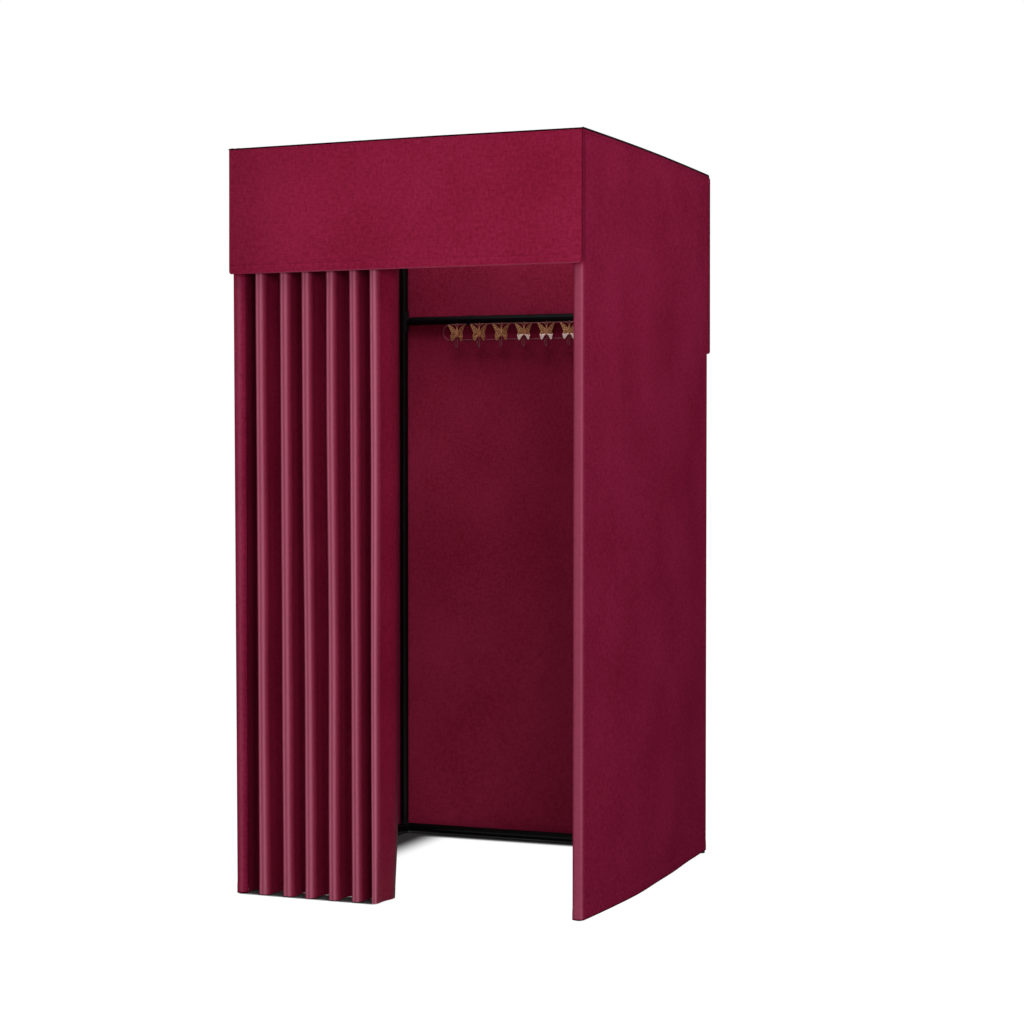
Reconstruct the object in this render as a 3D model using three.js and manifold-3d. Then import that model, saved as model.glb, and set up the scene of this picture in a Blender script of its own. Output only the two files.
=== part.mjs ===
// A portable fitting room: a plug-together frame of round tube, cloth covers, a pleated curtain that
// slides on clip rings, and a wire rack of butterfly hooks on the bar at the back.
// Millimetres, +Z up. The origin is on the floor under the middle of the booth. The doorway faces -Y.
import * as THREE from "three";
import { mergeVertices } from "three/addons/utils/BufferGeometryUtils.js";
import Module from "manifold-3d";

const wasm = await Module();
wasm.setup();

// Sizes over the cloth.
const booth = { width: 1000, depth: 1090, height: 2000 };

// Clearances that many pieces share.
const touchGap = 0.3; // between two pieces that touch
const overrun = 2; // how far a cutter runs past what it cuts
const weld = 0.5; // how far shapes of one piece run into each other
const mergeStep = 0.0001; // vertices nearer than this are one

const tube = { radius: 12.5, wall: 1.2 };
const hub = { reach: 20, spigotLength: 40, spigotSlip: 0.3, chamfer: 2 };
const foot = { radius: 12, height: 6, edge: 1.5, stemRadius: 4, stemLength: 8 };

const cover = {
  cloth: 2,
  overTube: 0.7, // slack between the cloth and the tube it goes round
  hemHeight: 8,
  flap: 22, // how far the turned edge runs on past the tube
  flapClearance: 10, // from the turned edge to the brackets and corners
};

const band = {
  cloth: 4,
  standoff: 4.9, // from the side panel's turned edge to the back of the band
  overhang: 2, // how far the band stands out past the side panel
  frontDrop: 335,
  backDrop: 523,
  backCorner: 12, // radius of the back band's upper corners
  pocketClearance: 4, // from the end of the rod pocket or strip to the corner
  stripHeight: 40, // of the tape that holds the back band
};

// The drops are measured from the axes of the top rails.
const bar = { drop: 392, saddleHeight: 60 };
const rod = { drop: 30, radius: 8, wall: 1 };
const saddle = { thickness: 3, reachDegrees: 50 };
const rodCup = { wall: 2.5, depth: 7, rim: 9, width: 30 };

const curtain = {
  cloth: 2,
  behindBand: 4, // from the back of the band to the front of the pleats
  foldDepth: 90,
  foldWidth: 27, // over the front of one pleat
  firstRingGap: 3.7, // from the left rod cup to the middle of the first ring
  pitch: 67.3, // from ring to ring
  lastHalf: 26.2, // from the last pleat's middle to the leading edge
  pleats: 6,
  headerShare: 0.86, // fold depth at the header as a share of the full depth
};
// Heights of the curtain's rows, and the fold depth there, as shares of the hanging height and full depth.
const curtainRowShares = [
  [0, 1.02],
  [0.45, 1],
  [0.87, 0.99],
];

const ring = { innerRadius: 12, wire: 3 };
const clip = {
  drop: 11, // from the ring to the curtain's header
  thickness: 1.5,
  width: 8,
  jaw: 12,
  slack: 1.2, // in front of the header
  stemRadius: 1.5,
};

const rack = {
  wire: 3,
  hooks: 9,
  hookPitch: 73.5,
  height: 48, // between the upper and the lower wire
  endMargin: 48, // from the last hook to the end of the loop
  belowBar: 2, // from the underside of the bar to the middle of the upper wire
};
const rackClip = {
  thickness: 1.5,
  width: 12,
  backDegrees: 60,
  lip: 3,
  inwardShare: 0.5, // from the last hook towards the next, of the hook pitch
};
const hook = { wire: 3.2, bend: 8, drop: 15, tipRise: 7, ball: 5.4, headroom: 3 };
const butterfly = { halfSpan: 27, height: 50, plate: 1.8, bodyLength: 30, bodyRadius: 3.2, sink: 0.6 };

// Outline of one wing, from the tail end of the body out and up to its head end, as shares of the half
// span and of the height above the tail.
const wingShares = [
  [0, 0.3],
  [0.2, 0.16],
  [0.36, 0.02],
  [0.6, 0.12],
  [0.78, 0.36],
  [0.66, 0.5],
  [0.92, 0.66],
  [1.0, 0.93],
  [0.78, 1.0],
  [0.34, 0.84],
  [0, 0.62],
];
// Each opening: middle across and up, half length, half width, and its tilt in degrees.
const wingOpeningShares = [
  [0.6, 0.83, 0.3, 0.105, 24],
  [0.55, 0.64, 0.25, 0.1, 2],
  [0.44, 0.29, 0.24, 0.125, -50],
];

// Radius and height of the body, from the tail up, as shares of its full radius and length.
const bodyShares = [
  [0, 0],
  [0.6, 0.2],
  [1, 0.72],
  [0, 1],
];

// How finely the round shapes are cut.
const detail = { tube: 16, collar: 16, ball: 8, quarterArc: 4, wire: 6, loopWire: 8, bend: 8, ring: 18 };

// Places that follow from the sizes above.
const hubRadius = tube.radius + cover.overTube - touchGap;
const clothInner = tube.radius + cover.overTube;
const clothOuter = clothInner + cover.cloth;
const postX = booth.width / 2 - band.overhang - clothOuter;
const postY = booth.depth / 2 - band.cloth - band.standoff - clothOuter;
const railZ = booth.height - clothOuter;
const floorRailZ = foot.height + touchGap + tube.radius;
const tubeEnd = hub.reach + touchGap;
const frontWrapTop = railZ - hub.reach - cover.flapClearance;
const barZ = railZ - bar.drop;
const rodZ = railZ - rod.drop;
const bandBack = booth.depth / 2 - band.cloth;
const valleyY = -bandBack + curtain.behindBand + curtain.cloth / 2 + curtain.foldDepth;
const rodY = valleyY;
const rodArmInner = postX - tube.radius - touchGap - saddle.thickness;
const rodCupInner = rodArmInner - rodCup.depth;
const firstRingX = curtain.firstRingGap - rodCupInner;
const ringZ = rodZ + rod.radius + touchGap - ring.innerRadius;
const curtainTop = ringZ - ring.innerRadius - ring.wire - clip.drop;
const wireY = postY - tube.radius - touchGap - rackClip.thickness - touchGap - rack.wire / 2;
const upperWireZ = barZ - tube.radius - rack.belowBar;
const lowerWireZ = upperWireZ - rack.height;
const hookY = wireY - rack.wire / 2 - touchGap - hook.wire / 2;

const materials = {
  coverCloth: new THREE.MeshStandardMaterial({ color: 0x7e1a36, roughness: 0.9, side: THREE.DoubleSide }),
  curtainCloth: new THREE.MeshStandardMaterial({ color: 0x7a1738, roughness: 0.7, side: THREE.DoubleSide }),
  blackPaint: new THREE.MeshStandardMaterial({ color: 0x141416, roughness: 0.45, metalness: 0.3 }),
  blackPlastic: new THREE.MeshStandardMaterial({ color: 0x1b1b1d, roughness: 0.6 }),
  rubber: new THREE.MeshStandardMaterial({ color: 0x202022, roughness: 0.85 }),
  giltMetal: new THREE.MeshStandardMaterial({ color: 0x9a7338, roughness: 0.4, metalness: 0.9 }),
  roseWire: new THREE.MeshStandardMaterial({ color: 0xb07f78, roughness: 0.35, metalness: 0.9 }),
  steel: new THREE.MeshStandardMaterial({ color: 0xa9acb0, roughness: 0.35, metalness: 0.9 }),
};

const xAxis = new THREE.Vector3(1, 0, 0);
const yAxis = new THREE.Vector3(0, 1, 0);
const zAxis = new THREE.Vector3(0, 0, 1);

function radians(degrees) {
  return (degrees * Math.PI) / 180;
}

// Points on an arc about a middle, both ends included, angles in degrees.
function arcPoints([middleX, middleY], radius, fromDegrees, toDegrees, steps) {
  return Array.from({ length: steps + 1 }, (_, step) => {
    const angle = radians(fromDegrees + ((toDegrees - fromDegrees) * step) / steps);
    return [middleX + radius * Math.cos(angle), middleY + radius * Math.sin(angle)];
  });
}

// The same path moved sideways: to its left where the distance is positive.
function offsetPath(path, distance) {
  const points = path.map(([x, y]) => new THREE.Vector2(x, y));
  return points.map((point, index) => {
    const before = points[Math.max(index - 1, 0)];
    const after = points[Math.min(index + 1, points.length - 1)];
    const into = point.clone().sub(before);
    const out = after.clone().sub(point);
    const along = into.normalize().add(out.normalize()).normalize();
    const turn = index > 0 && index < points.length - 1 ? along.dot(out) : 1;
    return [point.x - (along.y * distance) / turn, point.y + (along.x * distance) / turn];
  });
}

// A strip of even thickness along a path, as an outline.
function ribbonShape(path, thickness) {
  const left = offsetPath(path, thickness / 2);
  const right = offsetPath(path, -thickness / 2).reverse();
  return new THREE.Shape([...left, ...right].map(([x, y]) => new THREE.Vector2(x, y)));
}

function extruded(shape, depth, curveSegments = detail.bend) {
  return new THREE.ExtrudeGeometry(shape, { depth, steps: 1, bevelEnabled: false, curveSegments });
}

// Outlines drawn in (Y, Z), (X, Z) or (X, Y), given their length along the third axis.
function extrudedAlongX(shape, fromX, toX) {
  const basis = new THREE.Matrix4().makeBasis(yAxis, zAxis, xAxis);
  return extruded(shape, toX - fromX).applyMatrix4(basis).translate(fromX, 0, 0);
}

function extrudedAlongY(shape, fromY, toY) {
  return extruded(shape, toY - fromY)
    .rotateX(Math.PI / 2)
    .translate(0, toY, 0);
}

function extrudedAlongZ(shape, fromZ, toZ) {
  return extruded(shape, toZ - fromZ).translate(0, 0, fromZ);
}

// Turns a shape made along +Z to another direction, and puts its start in a place.
function aimed(geometry, start, direction) {
  const turn = new THREE.Quaternion().setFromUnitVectors(zAxis, direction.clone().normalize());
  return geometry.applyQuaternion(turn).translate(start.x, start.y, start.z);
}

// A round solid about Z, from [radius, height] points that run from the bottom up.
function turned(profile, sides) {
  const points = profile.map(([radius, height]) => new THREE.Vector2(radius, height));
  return new THREE.LatheGeometry(points, sides).rotateX(Math.PI / 2);
}

// A straight pipe between two points.
function pipe(start, end, size) {
  const shape = new THREE.Shape().absarc(0, 0, size.radius, 0, 2 * Math.PI, false);
  shape.holes.push(new THREE.Path().absarc(0, 0, size.radius - size.wall, 0, 2 * Math.PI, true));
  const along = end.clone().sub(start);
  return aimed(extruded(shape, along.length(), detail.tube / 2), start, along);
}

// One skin over a row of closed rings of points, joined at the ends or capped there.
function skin(rings, closed) {
  const count = rings.length;
  const sides = rings[0].length;
  const positions = rings.flat().flatMap((point) => point.toArray());
  const faces = [];
  const spans = closed ? count : count - 1;
  for (let row = 0; row < spans; row++) {
    for (let side = 0; side < sides; side++) {
      const a = row * sides + side;
      const b = row * sides + ((side + 1) % sides);
      const c = ((row + 1) % count) * sides + ((side + 1) % sides);
      const d = ((row + 1) % count) * sides + side;
      faces.push(a, b, c, a, c, d);
    }
  }
  if (!closed) {
    const last = (count - 1) * sides;
    for (let side = 1; side < sides - 1; side++) {
      faces.push(0, side + 1, side);
      faces.push(last, last + side, last + side + 1);
    }
  }
  const geometry = new THREE.BufferGeometry();
  geometry.setAttribute("position", new THREE.Float32BufferAttribute(positions, 3));
  geometry.setIndex(faces);
  return geometry;
}

// A round wire along a path that lies in the plane of two unit vectors.
function wireAlong(path, radius, sides, across, up, middle, closed) {
  const flatNormal = across.clone().cross(up);
  const count = path.length;
  const rings = path.map((point, index) => {
    const before = path[closed ? (index + count - 1) % count : Math.max(index - 1, 0)];
    const after = path[closed ? (index + 1) % count : Math.min(index + 1, count - 1)];
    const into = new THREE.Vector2(point[0] - before[0], point[1] - before[1]).normalize();
    const out = new THREE.Vector2(after[0] - point[0], after[1] - point[1]).normalize();
    const along = into.add(out).normalize();
    const sideways = across.clone().multiplyScalar(-along.y).addScaledVector(up, along.x);
    const centre = middle.clone().addScaledVector(across, point[0]).addScaledVector(up, point[1]);
    return Array.from({ length: sides }, (_, side) => {
      const angle = (2 * Math.PI * side) / sides;
      return centre
        .clone()
        .addScaledVector(sideways, radius * Math.cos(angle))
        .addScaledVector(flatNormal, radius * Math.sin(angle));
    });
  });
  return skin(rings, closed);
}

// A sheet of cloth from two lattices of points, its outer and its inner face. Cells that keep refuses
// are cut out, and every open edge gets a rim.
function clothSheet(outer, inner, keep) {
  const positions = [];
  const rows = outer.length - 1;
  const columns = outer[0].length - 1;
  const kept = (row, column) =>
    row >= 0 && row < rows && column >= 0 && column < columns && keep(row, column);
  const quad = (a, b, c, d) => {
    for (const point of [a, b, c, a, c, d]) positions.push(...point.toArray());
  };
  for (let row = 0; row < rows; row++) {
    for (let column = 0; column < columns; column++) {
      if (!kept(row, column)) continue;
      const corners = [
        [row, column],
        [row, column + 1],
        [row + 1, column + 1],
        [row + 1, column],
      ];
      const [a, b, c, d] = corners.map(([i, j]) => outer[i][j]);
      const [e, f, g, h] = corners.map(([i, j]) => inner[i][j]);
      quad(a, b, c, d);
      quad(h, g, f, e);
      if (!kept(row - 1, column)) quad(b, a, e, f);
      if (!kept(row, column + 1)) quad(c, b, f, g);
      if (!kept(row + 1, column)) quad(d, c, g, h);
      if (!kept(row, column - 1)) quad(a, d, h, e);
    }
  }
  const geometry = new THREE.BufferGeometry();
  return geometry.setAttribute("position", new THREE.Float32BufferAttribute(positions, 3));
}

function mergedGeometry(geometry) {
  const bare = geometry.clone();
  bare.deleteAttribute("normal");
  bare.deleteAttribute("uv");
  return mergeVertices(bare, mergeStep);
}

function solidOf(geometry) {
  const merged = mergedGeometry(geometry);
  const mesh = new wasm.Mesh({
    numProp: 3,
    vertProperties: merged.attributes.position.array,
    triVerts: new Uint32Array(merged.index.array),
  });
  return new wasm.Manifold(mesh);
}

function geometryOf(solid) {
  const mesh = solid.getMesh();
  const geometry = new THREE.BufferGeometry();
  geometry.setAttribute("position", new THREE.BufferAttribute(mesh.vertProperties, 3));
  geometry.setIndex(new THREE.BufferAttribute(mesh.triVerts, 1));
  return geometry;
}

function joined(geometries) {
  return geometryOf(geometries.map(solidOf).reduce((whole, piece) => whole.add(piece)));
}

function cutFrom(geometry, cutters) {
  return geometryOf(cutters.map(solidOf).reduce((whole, cutter) => whole.subtract(cutter), solidOf(geometry)));
}

// The same piece for the other side of the booth.
function mirrored(geometry) {
  const copy = mergedGeometry(geometry).scale(-1, 1, 1);
  const faces = copy.index.array;
  for (let face = 0; face < faces.length; face += 3) {
    [faces[face + 1], faces[face + 2]] = [faces[face + 2], faces[face + 1]];
  }
  return copy;
}

const room = new THREE.Group();
room.name = "portable_fitting_room";

function addPiece(name, geometry, material) {
  const shaded = mergedGeometry(geometry).toNonIndexed();
  shaded.computeVertexNormals();
  const mesh = new THREE.Mesh(shaded, material);
  mesh.name = name;
  room.add(mesh);
}

function addPair(name, rightGeometry, material) {
  addPiece(name + "_right", rightGeometry, material);
  addPiece(name + "_left", mirrored(rightGeometry), material);
}

// Frame: uprights, rails and the hook bar.
function addTubes() {
  const at = (x, y, z) => new THREE.Vector3(x, y, z);
  const lowEnd = floorRailZ + tubeEnd;
  const highEnd = railZ - tubeEnd;
  const endX = postX - tubeEnd;
  const endY = postY - tubeEnd;
  const addTube = (name, start, end) => addPiece(name, pipe(start, end, tube), materials.blackPaint);
  for (const [side, x] of [
    ["left", -postX],
    ["right", postX],
  ]) {
    addTube("post_front_" + side, at(x, -postY, lowEnd), at(x, -postY, highEnd));
    addTube("post_back_" + side, at(x, postY, lowEnd), at(x, postY, highEnd));
    addTube("top_rail_" + side, at(x, -endY, railZ), at(x, endY, railZ));
    addTube("bottom_rail_" + side, at(x, -endY, floorRailZ), at(x, endY, floorRailZ));
  }
  addTube("top_rail_front", at(-endX, -postY, railZ), at(endX, -postY, railZ));
  addTube("top_rail_back", at(-endX, postY, railZ), at(endX, postY, railZ));
  addTube("bottom_rail_back", at(-endX, postY, floorRailZ), at(endX, postY, floorRailZ));
  addTube("hook_bar", at(-endX, postY, barZ), at(endX, postY, barZ));
}

// Collar and plug of a connector along one direction, from a distance along it.
function plug(start, direction, collarFrom) {
  const spigotRadius = tube.radius - tube.wall - hub.spigotSlip;
  const end = hub.reach + hub.spigotLength;
  const profile = [
    [0, collarFrom],
    [hubRadius, collarFrom],
    [hubRadius, hub.reach],
    [spigotRadius, hub.reach],
    [spigotRadius, end - hub.chamfer],
    [spigotRadius - hub.chamfer, end],
    [0, end],
  ];
  return aimed(turned(profile, detail.collar), start, direction);
}

function cornerHub(middle, directions) {
  const ball = new THREE.SphereGeometry(tube.radius, detail.collar, detail.ball).translate(...middle.toArray());
  return joined([ball, ...directions.map((direction) => plug(middle, direction, 0))]);
}

// A floor connector is cut flat below and takes the stem of its foot.
function floorHub(middle, directions) {
  const flat = new THREE.BoxGeometry(4 * hubRadius, 4 * hubRadius, 2 * hubRadius);
  flat.translate(middle.x, middle.y, middle.z - tube.radius - hubRadius);
  const socketRadius = foot.stemRadius + touchGap;
  const socketDepth = foot.stemLength + touchGap;
  const socket = turned(
    [
      [0, -overrun],
      [socketRadius, -overrun],
      [socketRadius, socketDepth],
      [0, socketDepth],
    ],
    detail.collar,
  ).translate(middle.x, middle.y, middle.z - tube.radius);
  return cutFrom(cornerHub(middle, directions), [flat, socket]);
}

function addHubs() {
  const inward = xAxis.clone().negate();
  const forward = yAxis.clone().negate();
  const down = zAxis.clone().negate();
  const corner = (y, z) => new THREE.Vector3(postX, y, z);
  const plastic = materials.blackPlastic;
  addPair("top_hub_front", cornerHub(corner(-postY, railZ), [inward, yAxis, down]), plastic);
  addPair("top_hub_back", cornerHub(corner(postY, railZ), [inward, forward, down]), plastic);
  addPair("bottom_hub_front", floorHub(corner(-postY, floorRailZ), [yAxis, zAxis]), plastic);
  addPair("bottom_hub_back", floorHub(corner(postY, floorRailZ), [inward, forward, zAxis]), plastic);
}

function addFeet() {
  const stemTop = foot.height + foot.stemLength;
  const profile = [
    [0, 0],
    [foot.radius - foot.edge, 0],
    [foot.radius, foot.edge],
    [foot.radius, foot.height],
    [foot.stemRadius, foot.height],
    [foot.stemRadius, stemTop],
    [0, stemTop],
  ];
  for (const [place, y] of [
    ["front", -postY],
    ["back", postY],
  ]) {
    addPair("foot_" + place, turned(profile, detail.tube).translate(postX, y, 0), materials.rubber);
  }
}

// A curved plate that lies against the inner side of a tube, as an outline about the tube's axis. The
// outline's first axis points outwards.
function saddleShape(thickness, reachDegrees) {
  const radius = tube.radius + touchGap + thickness / 2;
  const steps = 2 * detail.quarterArc;
  return ribbonShape(arcPoints([0, 0], radius, 180 - reachDegrees, 180 + reachDegrees, steps), thickness);
}

function addBarBrackets() {
  const plate = extrudedAlongZ(
    saddleShape(saddle.thickness, saddle.reachDegrees),
    barZ - bar.saddleHeight / 2,
    barZ + bar.saddleHeight / 2,
  ).translate(postX, postY, 0);
  const middle = new THREE.Vector3(postX, postY, barZ);
  const collarFrom = tube.radius + touchGap + saddle.thickness / 2;
  const socket = plug(middle, xAxis.clone().negate(), collarFrom);
  addPair("bar_bracket", joined([plate, socket]), materials.blackPlastic);
}

// The rod bracket: a saddle on the side rail, an arm, and a cup that is open above.
function rodBracket() {
  const shell = extrudedAlongY(saddleShape(saddle.thickness, saddle.reachDegrees), 0, rodCup.width);
  shell.translate(postX, rodY - rodCup.width / 2, railZ);
  const cupRadius = rod.radius + touchGap + rodCup.wall;
  const armBottom = rodZ - cupRadius;
  const arm = new THREE.BoxGeometry(saddle.thickness, 2 * cupRadius, railZ - armBottom);
  arm.translate(rodArmInner + saddle.thickness / 2, rodY, (railZ + armBottom) / 2);
  const wallMiddle = cupRadius - rodCup.wall / 2;
  const cupPath = [
    [rodY + wallMiddle, rodZ + rodCup.rim],
    ...arcPoints([rodY, rodZ], wallMiddle, 0, -180, 2 * detail.quarterArc),
    [rodY - wallMiddle, rodZ + rodCup.rim],
  ];
  const cup = extrudedAlongX(ribbonShape(cupPath, rodCup.wall), rodCupInner, rodArmInner + weld);
  return joined([shell, arm, cup]);
}

function addCurtainRod() {
  const end = rodArmInner - touchGap;
  const start = new THREE.Vector3(-end, rodY, rodZ);
  addPiece("curtain_rod", pipe(start, new THREE.Vector3(end, rodY, rodZ), rod), materials.blackPaint);
  addPair("rod_bracket", rodBracket(), materials.blackPlastic);
}

// Rows of a cover that hangs from a rail: straight up, over the rail, and down behind it. Each row
// gives its share of the offset radius across and up from the rail, and its height above the rail.
function hangingRows(breaks) {
  const steps = 2 * detail.quarterArc;
  const overRail = Array.from({ length: steps + 1 }, (_, step) => {
    const angle = (Math.PI * step) / steps;
    return { across: Math.cos(angle), up: Math.sin(angle), above: 0 };
  });
  const below = breaks.map((height) => ({ across: 1, up: 0, above: height - railZ }));
  return [...below, ...overRail, { across: -1, up: 0, above: -cover.flap }];
}

// The side panel goes round the front upright, along the side and round the back upright. It hangs
// over the side rail, and its inner turn is left out where the rod bracket and the corners are.
function sidePanel() {
  const steps = detail.quarterArc;
  const turn = (fromDegrees, toDegrees, y) =>
    arcPoints([0, 0], 1, fromDegrees, toDegrees, steps).map(([x, yy]) => ({ x, y: yy, spine: y, shift: 0 }));
  const flapFrom = rodY + rodCup.width / 2 + cover.flapClearance;
  const flapTo = postY - hub.reach - cover.flapClearance;
  const columns = [
    { x: -1, y: 0, spine: -postY, shift: cover.flap },
    ...turn(-180, -90, -postY),
    ...turn(-90, 0, -postY).slice(1),
    { x: 1, y: 0, spine: flapFrom, shift: 0 },
    { x: 1, y: 0, spine: flapTo, shift: 0 },
    ...turn(0, 90, postY),
  ];
  const rows = hangingRows([cover.hemHeight, frontWrapTop]);
  const lattice = (radius) =>
    rows.map((row) =>
      columns.map((column) => {
        const x = postX + radius * column.x * row.across;
        const y = column.spine + radius * column.y * row.across + column.shift;
        return new THREE.Vector3(x, y, railZ + radius * row.up + row.above);
      }),
    );
  const wrapColumns = steps + 1; // the cells inside the front upright
  const flapColumn = 2 * steps + 2; // the cell between the two ends of the inner turn
  const topRow = 2 + steps; // the cells up to the crown of the rail
  const keep = (row, column) => {
    if (column < wrapColumns) return row < 1;
    return row < topRow || column === flapColumn;
  };
  return clothSheet(lattice(clothOuter), lattice(clothInner), keep);
}

function backPanel() {
  const half = postX - touchGap;
  const turnHalf = postX - hub.reach - cover.flapClearance;
  const columns = [half, turnHalf, -turnHalf, -half];
  const rows = hangingRows([cover.hemHeight]);
  const lattice = (radius) =>
    rows.map((row) =>
      columns.map((x) => new THREE.Vector3(x, postY + radius * row.across, railZ + radius * row.up + row.above)),
    );
  const topRow = 1 + detail.quarterArc;
  return clothSheet(lattice(clothOuter), lattice(clothInner), (row, column) => row < topRow || column === 1);
}

// A flat doubled band across the whole width. It is drawn for the front of the booth.
function flatBand(drop, cornerRadius) {
  const halfWidth = booth.width / 2;
  const bottom = booth.height - drop;
  const cornerZ = booth.height - cornerRadius;
  const outline = new THREE.Shape();
  outline.moveTo(-halfWidth, bottom);
  outline.lineTo(halfWidth, bottom);
  if (cornerRadius > 0) {
    outline.absarc(halfWidth - cornerRadius, cornerZ, cornerRadius, 0, Math.PI / 2, false);
    outline.absarc(cornerRadius - halfWidth, cornerZ, cornerRadius, Math.PI / 2, Math.PI, false);
  } else {
    outline.lineTo(halfWidth, booth.height);
    outline.lineTo(-halfWidth, booth.height);
  }
  return extrudedAlongY(outline, -booth.depth / 2, -bandBack);
}

// The front band hangs by a pocket, sewn to its back, that goes round the front rail.
function frontValance() {
  const loop = (radius, frontY) => {
    const path = [
      [frontY, railZ - radius],
      ...arcPoints([-postY, railZ], radius, -90, 90, 2 * detail.quarterArc),
      [frontY, railZ + radius],
    ];
    return path.map(([y, z]) => new THREE.Vector2(y, z));
  };
  const pocket = new THREE.Shape(loop(clothOuter, -bandBack - weld));
  pocket.holes.push(new THREE.Path(loop(clothInner, -bandBack + weld)));
  const half = postX - hub.reach - band.pocketClearance;
  return joined([flatBand(band.frontDrop, 0), extrudedAlongX(pocket, -half, half)]);
}

// The back band is held to the back panel by a strip of hook-and-loop tape along its top.
function backValance() {
  const half = postX - band.pocketClearance;
  const stripDepth = band.standoff - touchGap + weld;
  const strip = new THREE.BoxGeometry(2 * half, stripDepth, band.stripHeight);
  strip.translate(0, -bandBack - weld + stripDepth / 2, railZ - band.stripHeight / 2);
  return joined([flatBand(band.backDrop, band.backCorner), strip]).rotateZ(Math.PI);
}

function addCovers() {
  addPair("side_panel", sidePanel(), materials.coverCloth);
  addPiece("back_panel", backPanel(), materials.coverCloth);
  addPiece("front_valance", frontValance(), materials.coverCloth);
  addPiece("back_valance", backValance(), materials.coverCloth);
}

// One pleat seen from above, from the middle of one valley to the middle of the next: a quarter turn,
// a straight flank, a half turn round the front, and the same back.
function pleatPath(leftHalf, rightHalf, depth) {
  const front = curtain.foldWidth / 2 - curtain.cloth / 2;
  const leftValley = leftHalf - front;
  const rightValley = rightHalf - front;
  const steps = detail.quarterArc;
  return [
    ...arcPoints([0, -leftValley], leftValley, 90, 0, steps),
    ...arcPoints([leftHalf, front - depth], front, 180, 360, 2 * steps),
    ...arcPoints([leftHalf + rightHalf, -rightValley], rightValley, 180, 90, steps),
  ];
}

// One face of a pleat, whose two ends lie square to the rod so that neighbours meet face to face.
function squareEnded(path, distance) {
  const face = offsetPath(path, distance);
  const last = path.length - 1;
  face[0][0] = path[0][0];
  face[last][0] = path[last][0];
  return face;
}

function pleat(startX, leftHalf, rightHalf) {
  const height = curtainTop - cover.hemHeight;
  const rows = [...curtainRowShares, [1, curtain.headerShare]].map(([heightShare, depthShare]) => {
    const path = pleatPath(leftHalf - touchGap / 2, rightHalf - touchGap / 2, curtain.foldDepth * depthShare);
    return { path, z: cover.hemHeight + height * heightShare };
  });
  const lattice = (distance) =>
    rows.map(({ path, z }) =>
      squareEnded(path, distance).map(
        ([x, y]) => new THREE.Vector3(startX + touchGap / 2 + x, valleyY + y, z),
      ),
    );
  return clothSheet(lattice(-curtain.cloth / 2), lattice(curtain.cloth / 2), () => true);
}

// A ring on the rod with a spring clip below it that grips the header on both sides.
function clipRing(x) {
  const wireRadius = ring.wire / 2;
  const loop = new THREE.TorusGeometry(ring.innerRadius + wireRadius, wireRadius, detail.wire, detail.ring);
  loop.rotateY(Math.PI / 2).translate(x, rodY, ringZ);
  const backY = valleyY + curtain.cloth / 2 + touchGap + clip.thickness / 2;
  const frontY = valleyY - curtain.cloth / 2 - clip.slack - clip.thickness / 2;
  const bridgeZ = curtainTop + touchGap + clip.thickness / 2;
  const jawZ = curtainTop - clip.jaw;
  const clipPath = [
    [backY, jawZ],
    [backY, bridgeZ],
    [frontY, bridgeZ],
    [frontY, jawZ],
  ];
  const jaws = extrudedAlongX(ribbonShape(clipPath, clip.thickness), x - clip.width / 2, x + clip.width / 2);
  const stemTop = ringZ - ring.innerRadius - wireRadius;
  const stem = new THREE.CylinderGeometry(clip.stemRadius, clip.stemRadius, stemTop - bridgeZ, detail.wire);
  stem.rotateX(Math.PI / 2).translate(x, rodY, (stemTop + bridgeZ) / 2);
  return joined([loop, jaws, stem]);
}

function addCurtain() {
  const half = curtain.pitch / 2;
  let x = firstRingX;
  addPiece("curtain_ring_0", clipRing(x), materials.steel);
  for (let index = 1; index <= curtain.pleats; index++) {
    const rightHalf = index === curtain.pleats ? curtain.lastHalf : half;
    addPiece("curtain_pleat_" + index, pleat(x, half, rightHalf), materials.curtainCloth);
    x += half + rightHalf;
    addPiece("curtain_ring_" + index, clipRing(x), materials.steel);
  }
}

// The rack's wire: one closed loop with round ends.
function rackWire() {
  const radius = rack.height / 2;
  const straight = (rack.hookPitch * (rack.hooks - 1)) / 2 + rack.endMargin - radius;
  const path = [
    ...arcPoints([straight, 0], radius, -90, 90, detail.bend),
    ...arcPoints([-straight, 0], radius, 90, 270, detail.bend),
  ];
  const middle = new THREE.Vector3(0, wireY, (upperWireZ + lowerWireZ) / 2);
  return wireAlong(path, rack.wire / 2, detail.loopWire, xAxis, zAxis, middle, true);
}

// A clip that lies over the hook bar and carries the rack's upper wire in the bend of its lower end.
function addRackClips() {
  const radius = tube.radius + touchGap + rackClip.thickness / 2;
  const bend = rack.wire / 2 + touchGap + rackClip.thickness / 2;
  const wireDrop = upperWireZ - barZ;
  const path = [
    ...arcPoints([0, 0], radius, rackClip.backDegrees, 180, 2 * detail.quarterArc),
    ...arcPoints([-radius - bend, wireDrop], bend, 0, -180, detail.quarterArc),
    [-radius - 2 * bend, wireDrop + rackClip.lip],
  ];
  const beside = rack.hookPitch * ((rack.hooks - 1) / 2 - rackClip.inwardShare);
  const strip = extrudedAlongX(ribbonShape(path, rackClip.thickness), 0, rackClip.width);
  strip.translate(beside - rackClip.width / 2, postY, barZ);
  addPair("rack_clip", strip, materials.blackPaint);
}

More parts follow.
